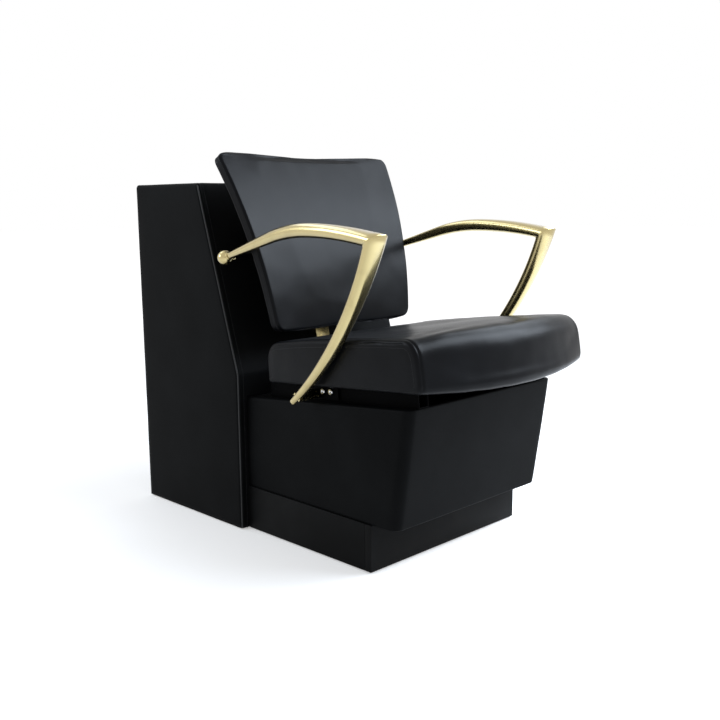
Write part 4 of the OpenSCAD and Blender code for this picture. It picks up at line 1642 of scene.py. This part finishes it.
@dataclass
class Arms:
    """The two tapered arms with their mitred front corners, and the balls at their rear ends."""

    drawing: Drawing
    slope: Slope
    span: float = 592.0
    peak_z: float = 732.0
    peak_d: float = 275.0
    corner_d: float = 471.0
    rear_r: float = 500.0
    front_r: float = 1100.0
    wide: float = 52.0
    thick: float = 31.0
    rear_dia: float = 13.0
    low_r: float = 790.0
    low_lift: float = 8.0
    low_d: float = 215.0
    tip_w: float = 18.0
    tip_t: float = 16.0
    flare: float = 1.2
    thick_share: float = 0.65
    taper_share: float = 0.76
    ball_d: float = 36.0
    collar_d: float = 20.0
    collar_t: float = 10.0
    cross_len: float = 506.0
    cross_d: float = 20.0
    cross_z: float = 661.0
    bar_y: float = 4.0
    bar_z: float = 455.0
    bar_t: float = 8.0
    bar_lean: float = 13.0
    around: int = 48
    square: float = 2.5
    mitre_room: float = 1.0
    mitre_edge: float = 1.1
    tip_round: float = 1.8
    tip_shrink: float = 0.22
    ball_around: int = 64
    lip: tuple[tuple[float, float], ...] = (
        (13.0, 1.0), (16.4, 3.2), (17.6, 3.4), (18.6, 2.6), (19.0, 1.2), (19.2, -0.4),
    )

    def __post_init__(self) -> None:
        """Works out the points that the runs of the arm are drawn from."""
        lean = math.radians(self.bar_lean)
        bar = np.array([self.bar_y + (self.cross_z - self.bar_z) * math.tan(lean), self.cross_z])
        self.cross = bar + np.array([-math.cos(lean), math.sin(lean)]) * (self.bar_t + self.cross_d) / 2
        flat = math.sqrt(self.ball_d**2 - self.collar_d**2) / 2
        self.ball_x = self.cross_len / 2 + self.collar_t + flat
        rise = math.sqrt(self.front_r**2 - (self.corner_d - self.peak_d) ** 2)
        self.corner = np.array([-self.corner_d, self.peak_z - self.front_r + rise])
        self.front_angle = math.asin((self.corner_d - self.peak_d) / self.front_r)
        self.rear_mid = np.array([-self.peak_d, self.peak_z - self.rear_r])
        reach = self.cross - self.rear_mid
        self.rear_angle = math.atan2(reach[0], reach[1]) - math.acos(self.rear_r / np.linalg.norm(reach))
        touch = np.array([math.sin(self.rear_angle), math.cos(self.rear_angle)])
        self.rear_touch = self.rear_mid + self.rear_r * touch
        ball_cut = math.sqrt(self.ball_d**2 - self.rear_dia**2) / 2
        way = np.array([-math.cos(self.rear_angle), math.sin(self.rear_angle)])
        self.rear_start = self.cross + ball_cut * way
        tan = math.tan(self.slope.angle)
        tip_z = self.slope.rear_h + self.low_d * tan + self.low_lift / math.cos(self.slope.angle)
        chord = np.array([-self.low_d, tip_z]) - self.corner
        half = math.asin(np.linalg.norm(chord) / 2 / self.low_r)
        middle = math.atan2(chord[0], -chord[1])
        self.low_a0, self.low_a1 = middle - half, middle + half

    def share(self, y: float) -> float:
        """How far along the upper arm the depth y is, from the ball to the corner."""
        return (self.cross[0] - y) / (self.cross[0] + self.corner_d)

    def x(self, y: float) -> float:
        """The arm's place across at the depth y."""
        out = max(0.0, 1.0 - self.share(y))
        return self.ball_x + (self.span / 2 - self.ball_x) * (1.0 - out * out)

    def upper(self, p: np.ndarray, slope: float) -> Station:
        """The station of the upper arm at the point p.

        Args:
            p: the point, as Y and Z.
            slope: the arm's slope there.

        Returns:
            The station.
        """
        f = self.share(p[0])
        swell = math.sin(math.pi / 2 * min(1.0, f / self.thick_share))
        w = (self.rear_dia + (self.wide - self.rear_dia) * max(f, 0.0) ** self.flare) / 2
        t = (self.rear_dia + (self.thick - self.rear_dia) * swell) / 2
        return Station(p, slope, w, t, 2.0 + (self.square - 2.0) * float(ease(f * 1.4 - 0.2)))

    def lower(self, f: float) -> Station:
        """The station of the lower arm at the share f of its length.

        Args:
            f: the share, from the mitre to the tip.

        Returns:
            The station.
        """
        a = self.low_a0 + (self.low_a1 - self.low_a0) * f
        start = np.array([math.cos(self.low_a0), math.sin(self.low_a0)])
        p = self.corner + self.low_r * (start - np.array([math.cos(a), math.sin(a)]))
        g = self.taper_share * (1 - f) + (1 - self.taper_share) * (1 - f) ** 6
        w = (self.tip_w + (self.wide - self.tip_w) * g) / 2
        t = (self.tip_t + (self.thick - self.tip_t) * (1 - f * f)) / 2
        return Station(p, -math.pi / 2 - a, w, t, 2.0 + (self.square - 2.0) * (1.0 - 0.6 * f))

    def ring(self, station: Station, share: float = 1.0) -> np.ndarray:
        """The ring of points of a station, shrunk to a share of its size.

        Args:
            station: the station.
            share: the share of its size.

        Returns:
            The ring.
        """
        p, slope, w, t, power = station
        a = np.linspace(0, 2 * math.pi, self.around, endpoint=False)
        c, s = np.cos(a), np.sin(a)
        across = np.sign(c) * np.abs(c) ** (2 / power) * w * share
        up = np.sign(s) * np.abs(s) ** (2 / power) * t * share
        return np.stack([self.x(p[0]) + across, p[0] + up * math.sin(slope), p[1] + up * math.cos(slope)], 1)

    def rings(self) -> np.ndarray:
        """The rings from the ball over the mitre to the tip, in the drawing.

        Returns:
            The rings.
        """
        made = []
        reach = self.rear_touch - self.rear_start
        for f in np.linspace(0, 1, 22, endpoint=False):
            made.append(self.ring(self.upper(self.rear_start + reach * f, self.rear_angle)))
        for a in np.linspace(self.rear_angle, 0, 26, endpoint=False):
            p = self.rear_mid + self.rear_r * np.array([math.sin(a), math.cos(a)])
            made.append(self.ring(self.upper(p, a)))
        away = 1.0 - np.linspace(0, 1, 30) ** 0.8
        mitre_in, mitre_out = self.front_angle, math.pi / 2 + self.low_a0
        stretch = 1 / math.cos((mitre_out - mitre_in) / 2)
        p, _, w, t, power = self.upper(self.corner, 0.0)
        mitre = self.ring(Station(p, -(mitre_in + mitre_out) / 2, w, t * stretch, power))
        run_in = np.array([0.0, -math.cos(self.front_angle), -math.sin(self.front_angle)])
        run_out = np.array([0.0, math.sin(self.low_a0), -math.cos(self.low_a0)])
        for gap in away[:-1]:
            a = self.front_angle * (1 - gap)
            y = -self.peak_d - self.front_r * math.sin(a)
            z = self.peak_z - self.front_r * (1 - math.cos(a))
            made.append(self.behind_mitre(self.ring(self.upper(np.array([y, z]), -a)), mitre, run_in))
        made.append(mitre - run_in * self.mitre_edge)
        made.append(mitre + run_out * self.mitre_edge)
        for f in np.linspace(0, 1, 60)[1:] ** 1.15:
            made.append(self.behind_mitre(self.ring(self.lower(f)), mitre, -run_out))
        tip = self.lower(1.0)
        forward = np.array([0.0, math.sin(self.low_a1), -math.cos(self.low_a1)])
        for a in np.linspace(0, math.pi / 2, 5)[1:]:
            ring = self.ring(tip, 1.0 - self.tip_shrink * (1 - math.cos(a)))
            made.append(ring + forward * self.tip_round * math.sin(a))
        return np.array(made)

    def behind_mitre(self, ring: np.ndarray, mitre: np.ndarray, run: np.ndarray) -> np.ndarray:
        """Keeps every point of a ring on its own side of the mitre.

        Args:
            ring: the ring's points.
            mitre: the mitre's points.
            run: the direction of the run towards the mitre.

        Returns:
            The ring, with points that would pass the mitre slid back along the run.
        """
        room = ((mitre - ring) * run).sum(1)
        return ring - run * np.where(room < self.mitre_room, self.mitre_room - room, 0.0)[:, None]

    def ball(self) -> np.ndarray:
        """The rings of a ball with its collar and the ring where the arm enters, round X.

        Returns:
            The rings.
        """
        r, c = self.ball_d / 2, self.collar_d / 2
        flat = math.sqrt(r * r - c * c)
        end, eased = -flat - self.collar_t, 0.8
        profile = [(end, c - eased), (end + eased, c), (-flat - 0.6, c), (-flat, c + 0.2)]
        profile += [(r * math.cos(a), r * math.sin(a)) for a in np.linspace(math.acos(-flat / r), 0.02, 40)]
        a = np.linspace(0, 2 * math.pi, self.ball_around, endpoint=False)
        rings = []
        for along, rad in profile:
            y, z = self.cross[0] + rad * np.cos(a), self.cross[1] + rad * np.sin(a)
            rings.append(np.stack([np.full(self.ball_around, self.ball_x + along), y, z], 1))
        return np.array(rings)

    def entry(self) -> np.ndarray:
        """The rings of the small collar where the arm enters the ball.

        Returns:
            The rings.
        """
        along = np.array([0.0, -math.cos(self.rear_angle), math.sin(self.rear_angle)])
        up = np.array([0.0, math.sin(self.rear_angle), math.cos(self.rear_angle)])
        across = np.array([1.0, 0.0, 0.0])
        centre = np.array([self.ball_x, *self.cross])
        a = np.linspace(0, 2 * math.pi, 40, endpoint=False)[:, None]
        turn = across * np.cos(a) + up * np.sin(a)
        return np.array([centre + along * d + turn * (self.rear_dia / 2 + out) for d, out in self.lip])

    def build(self, nodes: dict[str, bpy.types.Object]) -> None:
        """Makes both arms and their balls.

        Args:
            nodes: the frame's CAD nodes.
        """
        mirror = np.array([-1.0, 1.0, 1.0])
        for side, sign in (("left", np.ones(3)), ("right", mirror)):
            arm = loft(f"arm_{side}_brass", self.drawing.place(self.rings() * sign))
            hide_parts(f"arm_{side}")
            dress(arm, Finish.BRASS)
            ball = loft(f"arm_ball_{side}", self.drawing.place(self.ball() * sign))
            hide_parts("arm_balls", "arm_collars")
            dress(ball, Finish.BRASS)
            entry = loft(f"arm_entry_{side}", self.drawing.place(self.entry() * sign))
            dress(entry, Finish.BRASS)
        dress_nodes(nodes, Finish.BRASS, ["arm_lugs"])
        # The foot plates take the darkened FRAME black, which paints the shade around the arm bolts.
        dress_nodes(nodes, Finish.FRAME, ["arm_foot_plates"])
        dress_nodes(nodes, Finish.ZINC, ["arm_studs"])


@dataclass
class BoxCover:
    """The padded cover of the dryer box, sewn along its side edges."""

    drawing: Drawing
    width: float = 560.0
    high: float = 840.0
    depth: float = 406.0
    top_depth: float = 268.0
    knee: float = 386.0
    edge_r: float = 10.0
    front_r: float = 6.0
    cover_t: float = 4.0
    foot: float = 3.0
    flange_r: float = 55.2
    rear_face: float = 391.0
    seam_in: float = 11.5
    stitch_off: float = 5.0
    welt_r: float = 1.9
    puff: float = 1.4
    top_puff: float = 0.6
    side_slack: float = 0.6
    front_slack: float = 0.004
    fold_soft: float = 5.0
    fold_low: float = 12.0
    fold_high: float = 8.0
    top_rows: int = 13

    @property
    def lean(self) -> float:
        """The lean of the slanted front in radians."""
        return math.atan((self.depth - self.top_depth) / (self.high - self.knee))

    def level_y(self, y: np.ndarray, z: np.ndarray) -> np.ndarray:
        """Depth at height z of a point that lies y behind the front at the floor, with a soft fold.

        Args:
            y: how far behind the front.
            z: the height.

        Returns:
            The depth.
        """
        soft = self.fold_soft
        rise = np.asarray(z) - self.knee + np.asarray(y) * math.tan(self.lean / 2)
        bent = np.where(rise > soft, rise, np.where(rise < -soft, 0.0, (rise + soft) ** 2 / (4 * soft)))
        return y + bent * math.tan(self.lean)

    def ring(self, z: float, half: float) -> np.ndarray:
        """One level of the cover, from the rear left round the front to the rear right.

        Args:
            z: its height.
            half: the half width that it keeps to.

        Returns:
            The points.
        """
        r = self.edge_r
        x = self.width / 2 - r
        turn = np.linspace(0, math.pi / 2, 12)
        left = np.stack([-x - r * np.cos(turn), r - r * np.sin(turn)], 1)
        front = np.stack([np.linspace(-x, x, 62)[1:-1], np.zeros(60)], 1)
        right = np.stack([x + r * np.sin(turn), r - r * np.cos(turn)], 1)
        front_y = self.level_y(left[0, 1], np.array(z))
        n = 40
        side_l = np.stack([np.full(n, left[0, 0]), np.linspace(self.depth, front_y, n + 1)[:-1]], 1)
        side_r = np.stack([np.full(n, right[-1, 0]), np.linspace(front_y, self.depth, n + 1)[1:]], 1)
        mid = np.vstack([left, front, right])
        mid = np.stack([mid[:, 0], self.level_y(mid[:, 1], np.array(z))], 1)
        line = np.vstack([side_l, mid, side_r])
        line[:, 0] = np.clip(line[:, 0], -half, half)
        over = max(0.0, z - (self.high - self.front_r))
        line[:, 1] += (self.front_r - math.sqrt(self.front_r**2 - over**2)) * self.front_share(line)
        return np.stack([line[:, 0], line[:, 1], np.full(len(line), z)], 1)

    def front_share(self, line: np.ndarray) -> np.ndarray:
        """How far each point of a level belongs to the front, from 0 at the rear to 1."""
        y = line[:, 1]
        return np.clip((self.depth - y) / (self.depth - y.min()), 0.0, 1.0)

    def skin(self) -> np.ndarray:
        """The rings of the cover's outer face from the floor to the edge of its top.

        Returns:
            The rings.
        """
        r = self.edge_r
        shoulder = self.high - r
        start, end = self.knee - self.fold_low, self.knee + self.fold_high
        low = np.linspace(self.foot, start, 44)
        fold = np.linspace(start, end, 9)[1:]
        high = np.linspace(end, shoulder, 50)[1:]
        rings = [self.ring(z, self.width / 2) for z in (*low, *fold, *high)]
        for a in np.linspace(0, math.pi / 2, 15)[1:]:
            rings.append(self.ring(shoulder + r * math.sin(a), self.width / 2 - r * (1 - math.cos(a))))
        return np.array(rings)

    def top_rings(self, edge: np.ndarray) -> list[np.ndarray]:
        """Rings of the flat top from its edge to the hole for the post socket.

        Args:
            edge: the ring at its edge.

        Returns:
            The rings.
        """
        post = np.array([0.0, (self.depth - self.top_depth + self.rear_face) / 2])
        way = edge[:, :2] - post
        way = way / np.linalg.norm(way, axis=1, keepdims=True)
        hole = post + way * self.flange_r
        out = []
        for share in np.linspace(0, 1, self.top_rows + 1)[1:]:
            flat = edge[:, :2] * (1 - share) + hole * share
            swell = self.puff * math.sin(math.pi * share)
            out.append(np.column_stack([flat, np.full(len(flat), self.high + swell * self.top_puff)]))
        return out

    def puffed(self, points: np.ndarray) -> np.ndarray:
        """Swells the faces of the cover between its edges.

        Args:
            points: the cover's rings.

        Returns:
            The swollen rings.
        """
        out = points.copy()
        z = (out[..., 2] - self.foot) / (self.high - self.foot)
        tall = 1 - (2 * z - 1) ** 6
        y = (out[..., 1] - self.level_y(0.0, out[..., 2])) / (self.depth - self.level_y(0.0, out[..., 2]))
        deep = 1 - (2 * np.clip(y, 0, 1) - 1) ** 6
        wide = 1 - np.abs(out[..., 0] / (self.width / 2)) ** 6
        side = np.abs(out[..., 0]) > self.width / 2 - self.side_slack
        front = y < self.front_slack
        out[..., 0] += np.where(side, np.sign(out[..., 0]) * self.puff * tall * deep, 0.0)
        out[..., 1] -= np.where(front, self.puff * tall * np.clip(wide, 0, 1), 0.0)
        return out

    def seams(self) -> list[np.ndarray]:
        """The seams that run up the front beside both edges and over the top.

        Returns:
            A line for each seam.
        """
        lines = []
        for side in (-1, 1):
            z = np.linspace(self.foot, self.high - self.front_r, 240)
            x = np.full(240, side * (self.width / 2 - self.seam_in))
            up = np.stack([x, self.level_y(0.0, z), z], 1)
            a = np.linspace(0, math.pi / 2, 12)[1:]
            high = self.high - self.front_r + self.front_r * np.sin(a)
            bend_y = self.level_y(0.0, high) + self.front_r * (1 - np.cos(a))
            bend = np.stack([np.full(11, x[0]), bend_y, high], 1)
            y = np.linspace(bend_y[-1], self.depth - 2.0, 60)[1:]
            over = np.stack([np.full(59, x[0]), y, np.full(59, self.high)], 1)
            lines.append(resample(np.vstack([up, bend, over]), 460))
        return [self.drawing.place(line) for line in lines]

    def build(self) -> None:
        """Makes the cover with its seams and welts."""
        skin = self.skin()
        rings = np.concatenate([self.puffed(skin), np.array(self.top_rings(skin[-1]))])
        n, m, _ = rings.shape
        starts = [i * m for i in range(n - self.top_rows - 1, n - 1)]
        faces = strip_faces(n, m) + [(a + m - 1, a, a + m, a + 2 * m - 1) for a in starts]
        cover = piece("box_upholstery", self.drawing.place(rings).reshape(-1, 3), faces, outward=False)
        face_outward(cover)
        ripple(cover, 0.0005, 0.09)
        seams = Seam(self.seams(), groove=0.0013, groove_half=0.0028)
        seams.press(cover)
        give_wall(cover, self.cover_t * MM)
        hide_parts("box_cover")
        dress(cover, Finish.COVER)
        sew("box_stitches", seams, seams.on(cover, self.stitch_off * MM, Vector((0.0, 0.0, 0.5))))
        self.welts()

    def welts(self) -> None:
        """Makes the welts of both front corners."""
        # The welts take the lightened piping finish, a painted highlight along both front corners.
        welts = welt_tree().run(
            "box_welts",
            lines_mesh("box_welts", self.corner_lines(), False),
            Radius=self.welt_r * MM,
            Sides=10,
            Material=Finish.PIPING.material,
        )
        welts.data.shade_smooth()
        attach(welts, BODY)
        log.info("piece box_welts: %d vertices", len(welts.data.vertices))

    def corner_lines(self) -> list[np.ndarray]:
        """The lines of the welts, up both front corners.

        Returns:
            A line for each welt.
        """
        lines = []
        inset = self.edge_r * (1 - math.sqrt(0.5)) + 0.1
        for side in (-1, 1):
            z = np.linspace(self.foot + 1.0, self.high - self.front_r, 300)
            x = np.full(300, side * (self.width / 2 - inset))
            lines.append(self.drawing.place(np.stack([x, self.level_y(np.full(300, inset), z), z], 1)))
        return lines


@dataclass
class BaseCover:
    """The padded cover of the seat base, rolled over its upper edge."""

    drawing: Drawing
    slope: Slope
    width: float = 510.0
    low_depth: float = 489.0
    plinth_h: float = 109.0
    edge_r: float = 22.0
    cover_t: float = 1.2
    roll_r: float = 4.0
    foot_r: float = 3.0
    foot_gap: float = 0.4
    lift: float = 0.9
    puff: float = 1.2
    tuck: float = 12.0
    lap: float = 24.0

    @property
    def lean(self) -> float:
        """The lean of the front in radians."""
        return math.atan((self.slope.depth - self.low_depth) / (self.slope.front_h - self.plinth_h))

    def plan(self) -> tuple[np.ndarray, np.ndarray]:
        """The path round the cover at one level.

        Returns:
            The path's points, as X and a share or a distance ahead, and which of them lie on a side.
        """
        r, x = self.edge_r, self.width / 2 - self.edge_r
        turn = np.linspace(0, math.pi / 2, 12)
        n = 44
        parts = [
            (np.stack([np.full(n, -x - r), np.linspace(0, 1, n)], 1), "side"),
            (np.stack([-x - r * np.cos(turn[1:-1]), r * np.sin(turn[1:-1])], 1), "corner"),
            (np.stack([np.linspace(-x, x, 56), np.full(56, r)], 1), "front"),
            (np.stack([x + r * np.sin(turn[1:-1]), r * np.cos(turn[1:-1])], 1), "corner"),
            (np.stack([np.full(n, x + r), np.linspace(1, 0, n)], 1), "side"),
        ]
        return np.vstack([p for p, _ in parts]), np.concatenate([[k == "side"] * len(p) for p, k in parts])

    def front(self, z: np.ndarray) -> np.ndarray:
        """How far the front stands ahead of the box at height z."""
        return self.low_depth + (np.asarray(z) - self.plinth_h) * math.tan(self.lean)

    def level(self, z: np.ndarray, inset: float) -> np.ndarray:
        """The path at the heights z, drawn in by inset.

        Args:
            z: a height for each point.
            inset: how far the path is drawn in.

        Returns:
            The path's points.
        """
        plan, side = self.plan()
        ahead = self.front(z) - self.edge_r
        y = np.where(side, plan[:, 1] * ahead, ahead + plan[:, 1])
        x = plan[:, 0]
        run = np.stack([np.gradient(x), np.gradient(y)], 1)
        inward = np.stack([run[:, 1], -run[:, 0]], 1) / np.linalg.norm(run, axis=1, keepdims=True)
        flat = np.stack([x, y], 1) + inset * inward * np.stack([np.ones(len(y)), y > 0.5], 1)
        return np.stack([flat[:, 0], -flat[:, 1], z], 1)

    def top_z(self, points: np.ndarray) -> np.ndarray:
        """Height of the upper edge over each point of the path."""
        return self.slope.rear_h - points[:, 1] * math.tan(self.slope.angle)

    def rings(self) -> np.ndarray:
        """The rings from the tuck under the base to the lap over its top.

        Returns:
            The rings.
        """
        plan, _ = self.plan()
        flat_z = np.full(len(plan), self.plinth_h)
        rings = []
        for inset in (self.tuck, self.tuck * 0.6, self.roll_r * 0.5):
            rings.append(self.level(flat_z - self.foot_gap, inset))
        for a in np.linspace(0.35, math.pi / 2, 6):
            z = flat_z + self.foot_r * (1 - math.cos(a))
            rings.append(self.level(z, self.foot_r * (1 - math.sin(a))))
        base = self.level(flat_z, 0.0)
        for _ in range(2):
            base = self.level(self.top_z(base), 0.0)
        edge = self.top_z(base) - self.roll_r
        for share in np.linspace(0, 1, 34)[1:]:
            z = (flat_z + self.foot_r) * (1 - share) + edge * share
            rings.append(self.level(z, -self.puff * math.sin(math.pi * share) ** 0.7))
        for a in np.linspace(0, math.pi / 2, 7)[1:]:
            z = edge + (self.roll_r + self.lift) * math.sin(a)
            rings.append(self.level(z, self.roll_r * (1 - math.cos(a))))
        for share in (0.35, 0.7, 1.0):
            inset = self.roll_r + (self.lap - self.roll_r) * share
            ring = self.level(edge + self.roll_r, inset)
            ring[:, 2] = self.top_z(ring) + self.lift
            rings.append(ring)
        return np.array(rings)

    def build(self) -> None:
        """Makes the cover."""
        rings = self.rings()
        faces = strip_faces(*rings.shape[:2])
        cover = piece("base_upholstery", self.drawing.place(rings).reshape(-1, 3), faces, outward=False)
        face_outward(cover)
        ripple(cover, 0.0005, 0.08)
        give_wall(cover, self.cover_t * MM)
        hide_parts("base_cover")
        dress(cover, Finish.COVER)


@dataclass
class Console:
    """The rigid pieces of the dryer box, the seat base, the plinth and the hood mount."""

    drawing: Drawing
    slope: Slope
    rear_y: float = 403.0
    screw_r: float = 4.0
    screw_h: float = 2.4
    bolt_r: float = 6.5
    bolt_h: float = 5.0
    bolt_x: float = 230.0
    bolt_lift: float = 24.0
    lug_d: float = 215.0
    lug_rear: float = 40.0
    lug_size: float = 80.0
    bolt_shares: tuple[float, float] = (-0.08, 0.24)

    def build(self, nodes: dict[str, bpy.types.Object]) -> None:
        """Dresses the boards and sets the screws' heads.

        Args:
            nodes: the frame's CAD nodes.
        """
        plywood = [
            "base_bottom_panel", "base_side_panels", "base_front_panel", "box_bottom_panel",
            "box_side_panels", "box_front_lower_panel", "box_front_upper_panel", "box_top_panel",
        ]
        dress_nodes(nodes, Finish.PLYWOOD, plywood)
        dress_nodes(nodes, Finish.BATTEN, ["plinth_corner_blocks", "base_rear_rail", "box_battens"])
        dress_nodes(nodes, Finish.BOARD, ["base_top_panel", "box_rear_panel", "back_board", "seat_board"])
        dress_nodes(nodes, Finish.NYLON, ["floor_glides", "cable_grommet"])
        # The seat rails, socket and back bars take the darkened FRAME black, which paints the shade under
        # the seat and behind the back.
        dress_nodes(nodes, Finish.FRAME, ["post_socket", "seat_rails", "back_cross_bar", "back_spacers"])
        dress_nodes(nodes, Finish.ZINC, ["joining_screws", "seat_bolts", "back_bar_bolts", "back_bolts"])
        for node in ("plinth_front_board", "plinth_side_boards"):
            board = eased_copy(f"{node}_eased", nodes[node], 0.0012)
            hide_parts(node)
            dress(board, Finish.BOARD)
        bar = eased_copy("back_bar_eased", nodes["back_bar"], 0.0010)
        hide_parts("back_bar")
        dress(bar, Finish.BRASS)
        self.screws()

    def screws(self) -> None:
        """Sets the heads of the rear panel's, the socket's and the arms' fasteners."""
        r, h = self.screw_r * MM, self.screw_h * MM
        rear = self.drawing.place([0.0, self.rear_y, 0.0])[1]
        low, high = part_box("rear_panel_screws")
        z = np.linspace(low.z + r, high.z - r, 4)
        places = np.array([(a, rear, b) for a in (low.x + r, high.x - r) for b in z])
        axes = np.tile([0.0, 1.0, 0.0], (len(places), 1))
        made = heads("rear_screw_heads", Recess.CROSS, places, axes, Finish.ZINC, r, h)
        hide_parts("rear_panel_screws")
        low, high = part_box("socket_screws")
        y = (low.y + r, high.y - r)
        places = np.array([(a, b, high.z - h) for a in (low.x + r, high.x - r) for b in y])
        axes = np.tile([0.0, 0.0, 1.0], (len(places), 1))
        made = heads("socket_screw_heads", Recess.CROSS, places, axes, Finish.ZINC, r, h)
        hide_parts("socket_screws")
        self.arm_bolts()

    def arm_bolts(self) -> None:
        """Sets the bright heads of the bolts that hold the arms."""
        plate = self.lug_d / math.cos(self.slope.angle) + self.lug_rear
        sides = (-1.0, 1.0)
        spots = [(side, -plate - share * self.lug_size) for side in sides for share in self.bolt_shares]
        drawn = np.array([[side * self.bolt_x, s, 0.0] for side, s in spots])
        places = self.drawing.place(self.slope.raise_points(drawn, self.bolt_lift))
        axes = np.array([[side, 0.0, 0.0] for side, _ in spots])
        r, h = self.bolt_r * MM, self.bolt_h * MM
        made = heads("arm_bolt_heads", Recess.HEXAGON, places, axes, Finish.STEEL, r, h)
        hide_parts("arm_bolts")


# The picture


@dataclass
class Studio:
    """The pale floor, the soft lamps, the world and the camera."""

    ambient: float = 0.62
    tint: Triple = (0.80, 0.89, 1.0)
    place: Triple = (-1.5905, -1.5982, 0.7784)
    back: Triple = (-0.6961, -0.6961, 0.1754)
    roll: float = -0.4
    lens: float = 45.6
    sensor: float = 36.0
    shift: tuple[float, float] = (0.00375, 0.01389)

    def camera(self) -> None:
        """Sets the camera where the photograph was taken from."""
        data = bpy.data.cameras.new("camera")
        data.lens, data.sensor_width = self.lens, self.sensor
        data.shift_x, data.shift_y = self.shift
        data.clip_start, data.clip_end = 0.05, 60.0
        made = linked("camera", data)
        back = Vector(self.back).normalized()
        side = Vector((0, 0, 1)).cross(back).normalized()
        up = back.cross(side)
        c, s = math.cos(math.radians(self.roll)), math.sin(math.radians(self.roll))
        side, up = side * c + up * s, up * c - side * s
        made.matrix_world = Matrix(
            [
                (side.x, up.x, back.x, self.place[0]),
                (side.y, up.y, back.y, self.place[1]),
                (side.z, up.z, back.z, self.place[2]),
                (0, 0, 0, 1),
            ]
        )
        bpy.context.scene.camera = made

    def lamp(self, name: str, place: Triple, aim: Vector, size: tuple[float, float], power: float) -> None:
        """Adds one soft lamp.

        Args:
            name: its name.
            place: where it hangs.
            aim: the point that it faces.
            size: its width and height in metres.
            power: watts.
        """
        data = bpy.data.lights.new(name, "AREA")
        data.shape, data.size, data.size_y, data.energy = "RECTANGLE", size[0], size[1], power
        data.color = self.tint
        made = linked(name, data)
        made.location = place
        made.rotation_euler = (aim - made.location).to_track_quat("-Z", "Y").to_euler()

    def lamps(self) -> None:
        """Adds the soft lamps."""
        back, roll = Vector((0.0, 0.08, 0.70)), Vector((0.0, -0.50, 0.57))
        self.lamp("back_softbox", (1.79, -1.48, 1.66), back, (1.2, 0.9), 48.0)
        self.lamp("roll_softbox", (1.50, -0.50, 1.90), roll, (1.3, 0.9), 23.0)
        self.lamp("crest_softbox", (0.85, -1.50, 2.15), roll, (1.4, 0.9), 62.0)
        self.lamp("rear_softbox", (-0.40, 1.35, 2.30), back, (1.6, 0.8), 9.0)
        self.lamp("left_softbox", (-2.20, 1.70, 1.50), back, (1.2, 1.0), 24.0)

    @staticmethod
    def seen(graph: Graph) -> Value:
        """1 where the camera, a mirror or a glass looks, and 0 for the light on the object.

        Args:
            graph: the graph to build in.

        Returns:
            The value.
        """
        path = graph.node("ShaderNodeLightPath")
        looked = graph.value(path, "Is Camera Ray").highest(graph.value(path, "Is Glossy Ray"))
        return looked.highest(graph.value(path, "Is Transmission Ray"))

    def world(self) -> None:
        """Lights the scene evenly, white behind the object and in what it mirrors."""
        world = bpy.data.worlds.new("studio")
        world.use_nodes = True
        bpy.context.scene.world = world
        graph = Graph(world.node_tree)
        strength = self.seen(graph) * (1.0 - self.ambient) + self.ambient
        white = {"Color": colour(1.0, 1.0, 1.0), "Strength": strength}
        shader = graph.node("ShaderNodeBackground", None, white)
        graph.node("ShaderNodeOutputWorld", None, {"Surface": shader.outputs[0]})

    def floor(self) -> None:
        """Lays the pale floor, which keeps the object's shadow."""
        points = np.array([(-30, -30, 0), (30, -30, 0), (30, 30, 0), (-30, 30, 0)], float)
        made = piece("studio_floor", points, [(0, 1, 2, 3)], outward=False)
        material = bpy.data.materials.new("studio_floor")
        material.use_nodes = True
        graph = Graph(material.node_tree)
        place = graph.node("ShaderNodeTexCoord").outputs["Object"]
        away = graph.node("ShaderNodeVectorMath", {"operation": "LENGTH"}, {0: place})
        far = graph.value(away, "Value").ramp(1.4, 4.5)
        matt = graph.node("ShaderNodeBsdfDiffuse", None, {"Color": colour(0.8, 0.8, 0.8)})
        grey = far * 0.30 + 0.34
        level = graph.node("ShaderNodeCombineColor", None, {"Red": grey, "Green": grey, "Blue": grey})
        sockets = {"Color": level.outputs[0], "Strength": self.seen(graph)}
        glow = graph.node("ShaderNodeEmission", None, sockets)
        both = graph.node("ShaderNodeAddShader", None, {0: matt.outputs[0], 1: glow.outputs[0]})
        graph.node("ShaderNodeOutputMaterial", None, {"Surface": both.outputs[0]})
        made.data.materials.append(material)

    def build(self) -> None:
        """Sets up the whole picture."""
        scene = bpy.context.scene
        scene.view_settings.view_transform = "Standard"
        self.camera()
        self.lamps()
        self.world()
        self.floor()


def main(frame: dict[str, Any]) -> None:
    """Builds the chair piece by piece and the picture round it.
    """
    logging.basicConfig(level=logging.INFO, format="%(name)s: %(message)s")
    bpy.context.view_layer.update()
    nodes = frame["nodes"]
    drawing = Drawing(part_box("box_cover")[1].y - BoxCover.depth * MM)
    slope = Slope()
    Studio().build()
    Console(drawing, slope).build(nodes)
    BoxCover(drawing).build()
    BaseCover(drawing, slope).build()
    Arms(drawing, slope).build(nodes)
    BackPad(drawing).build()
    SeatPad(drawing, slope).build()


if __name__ == "__main__":
    main(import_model())
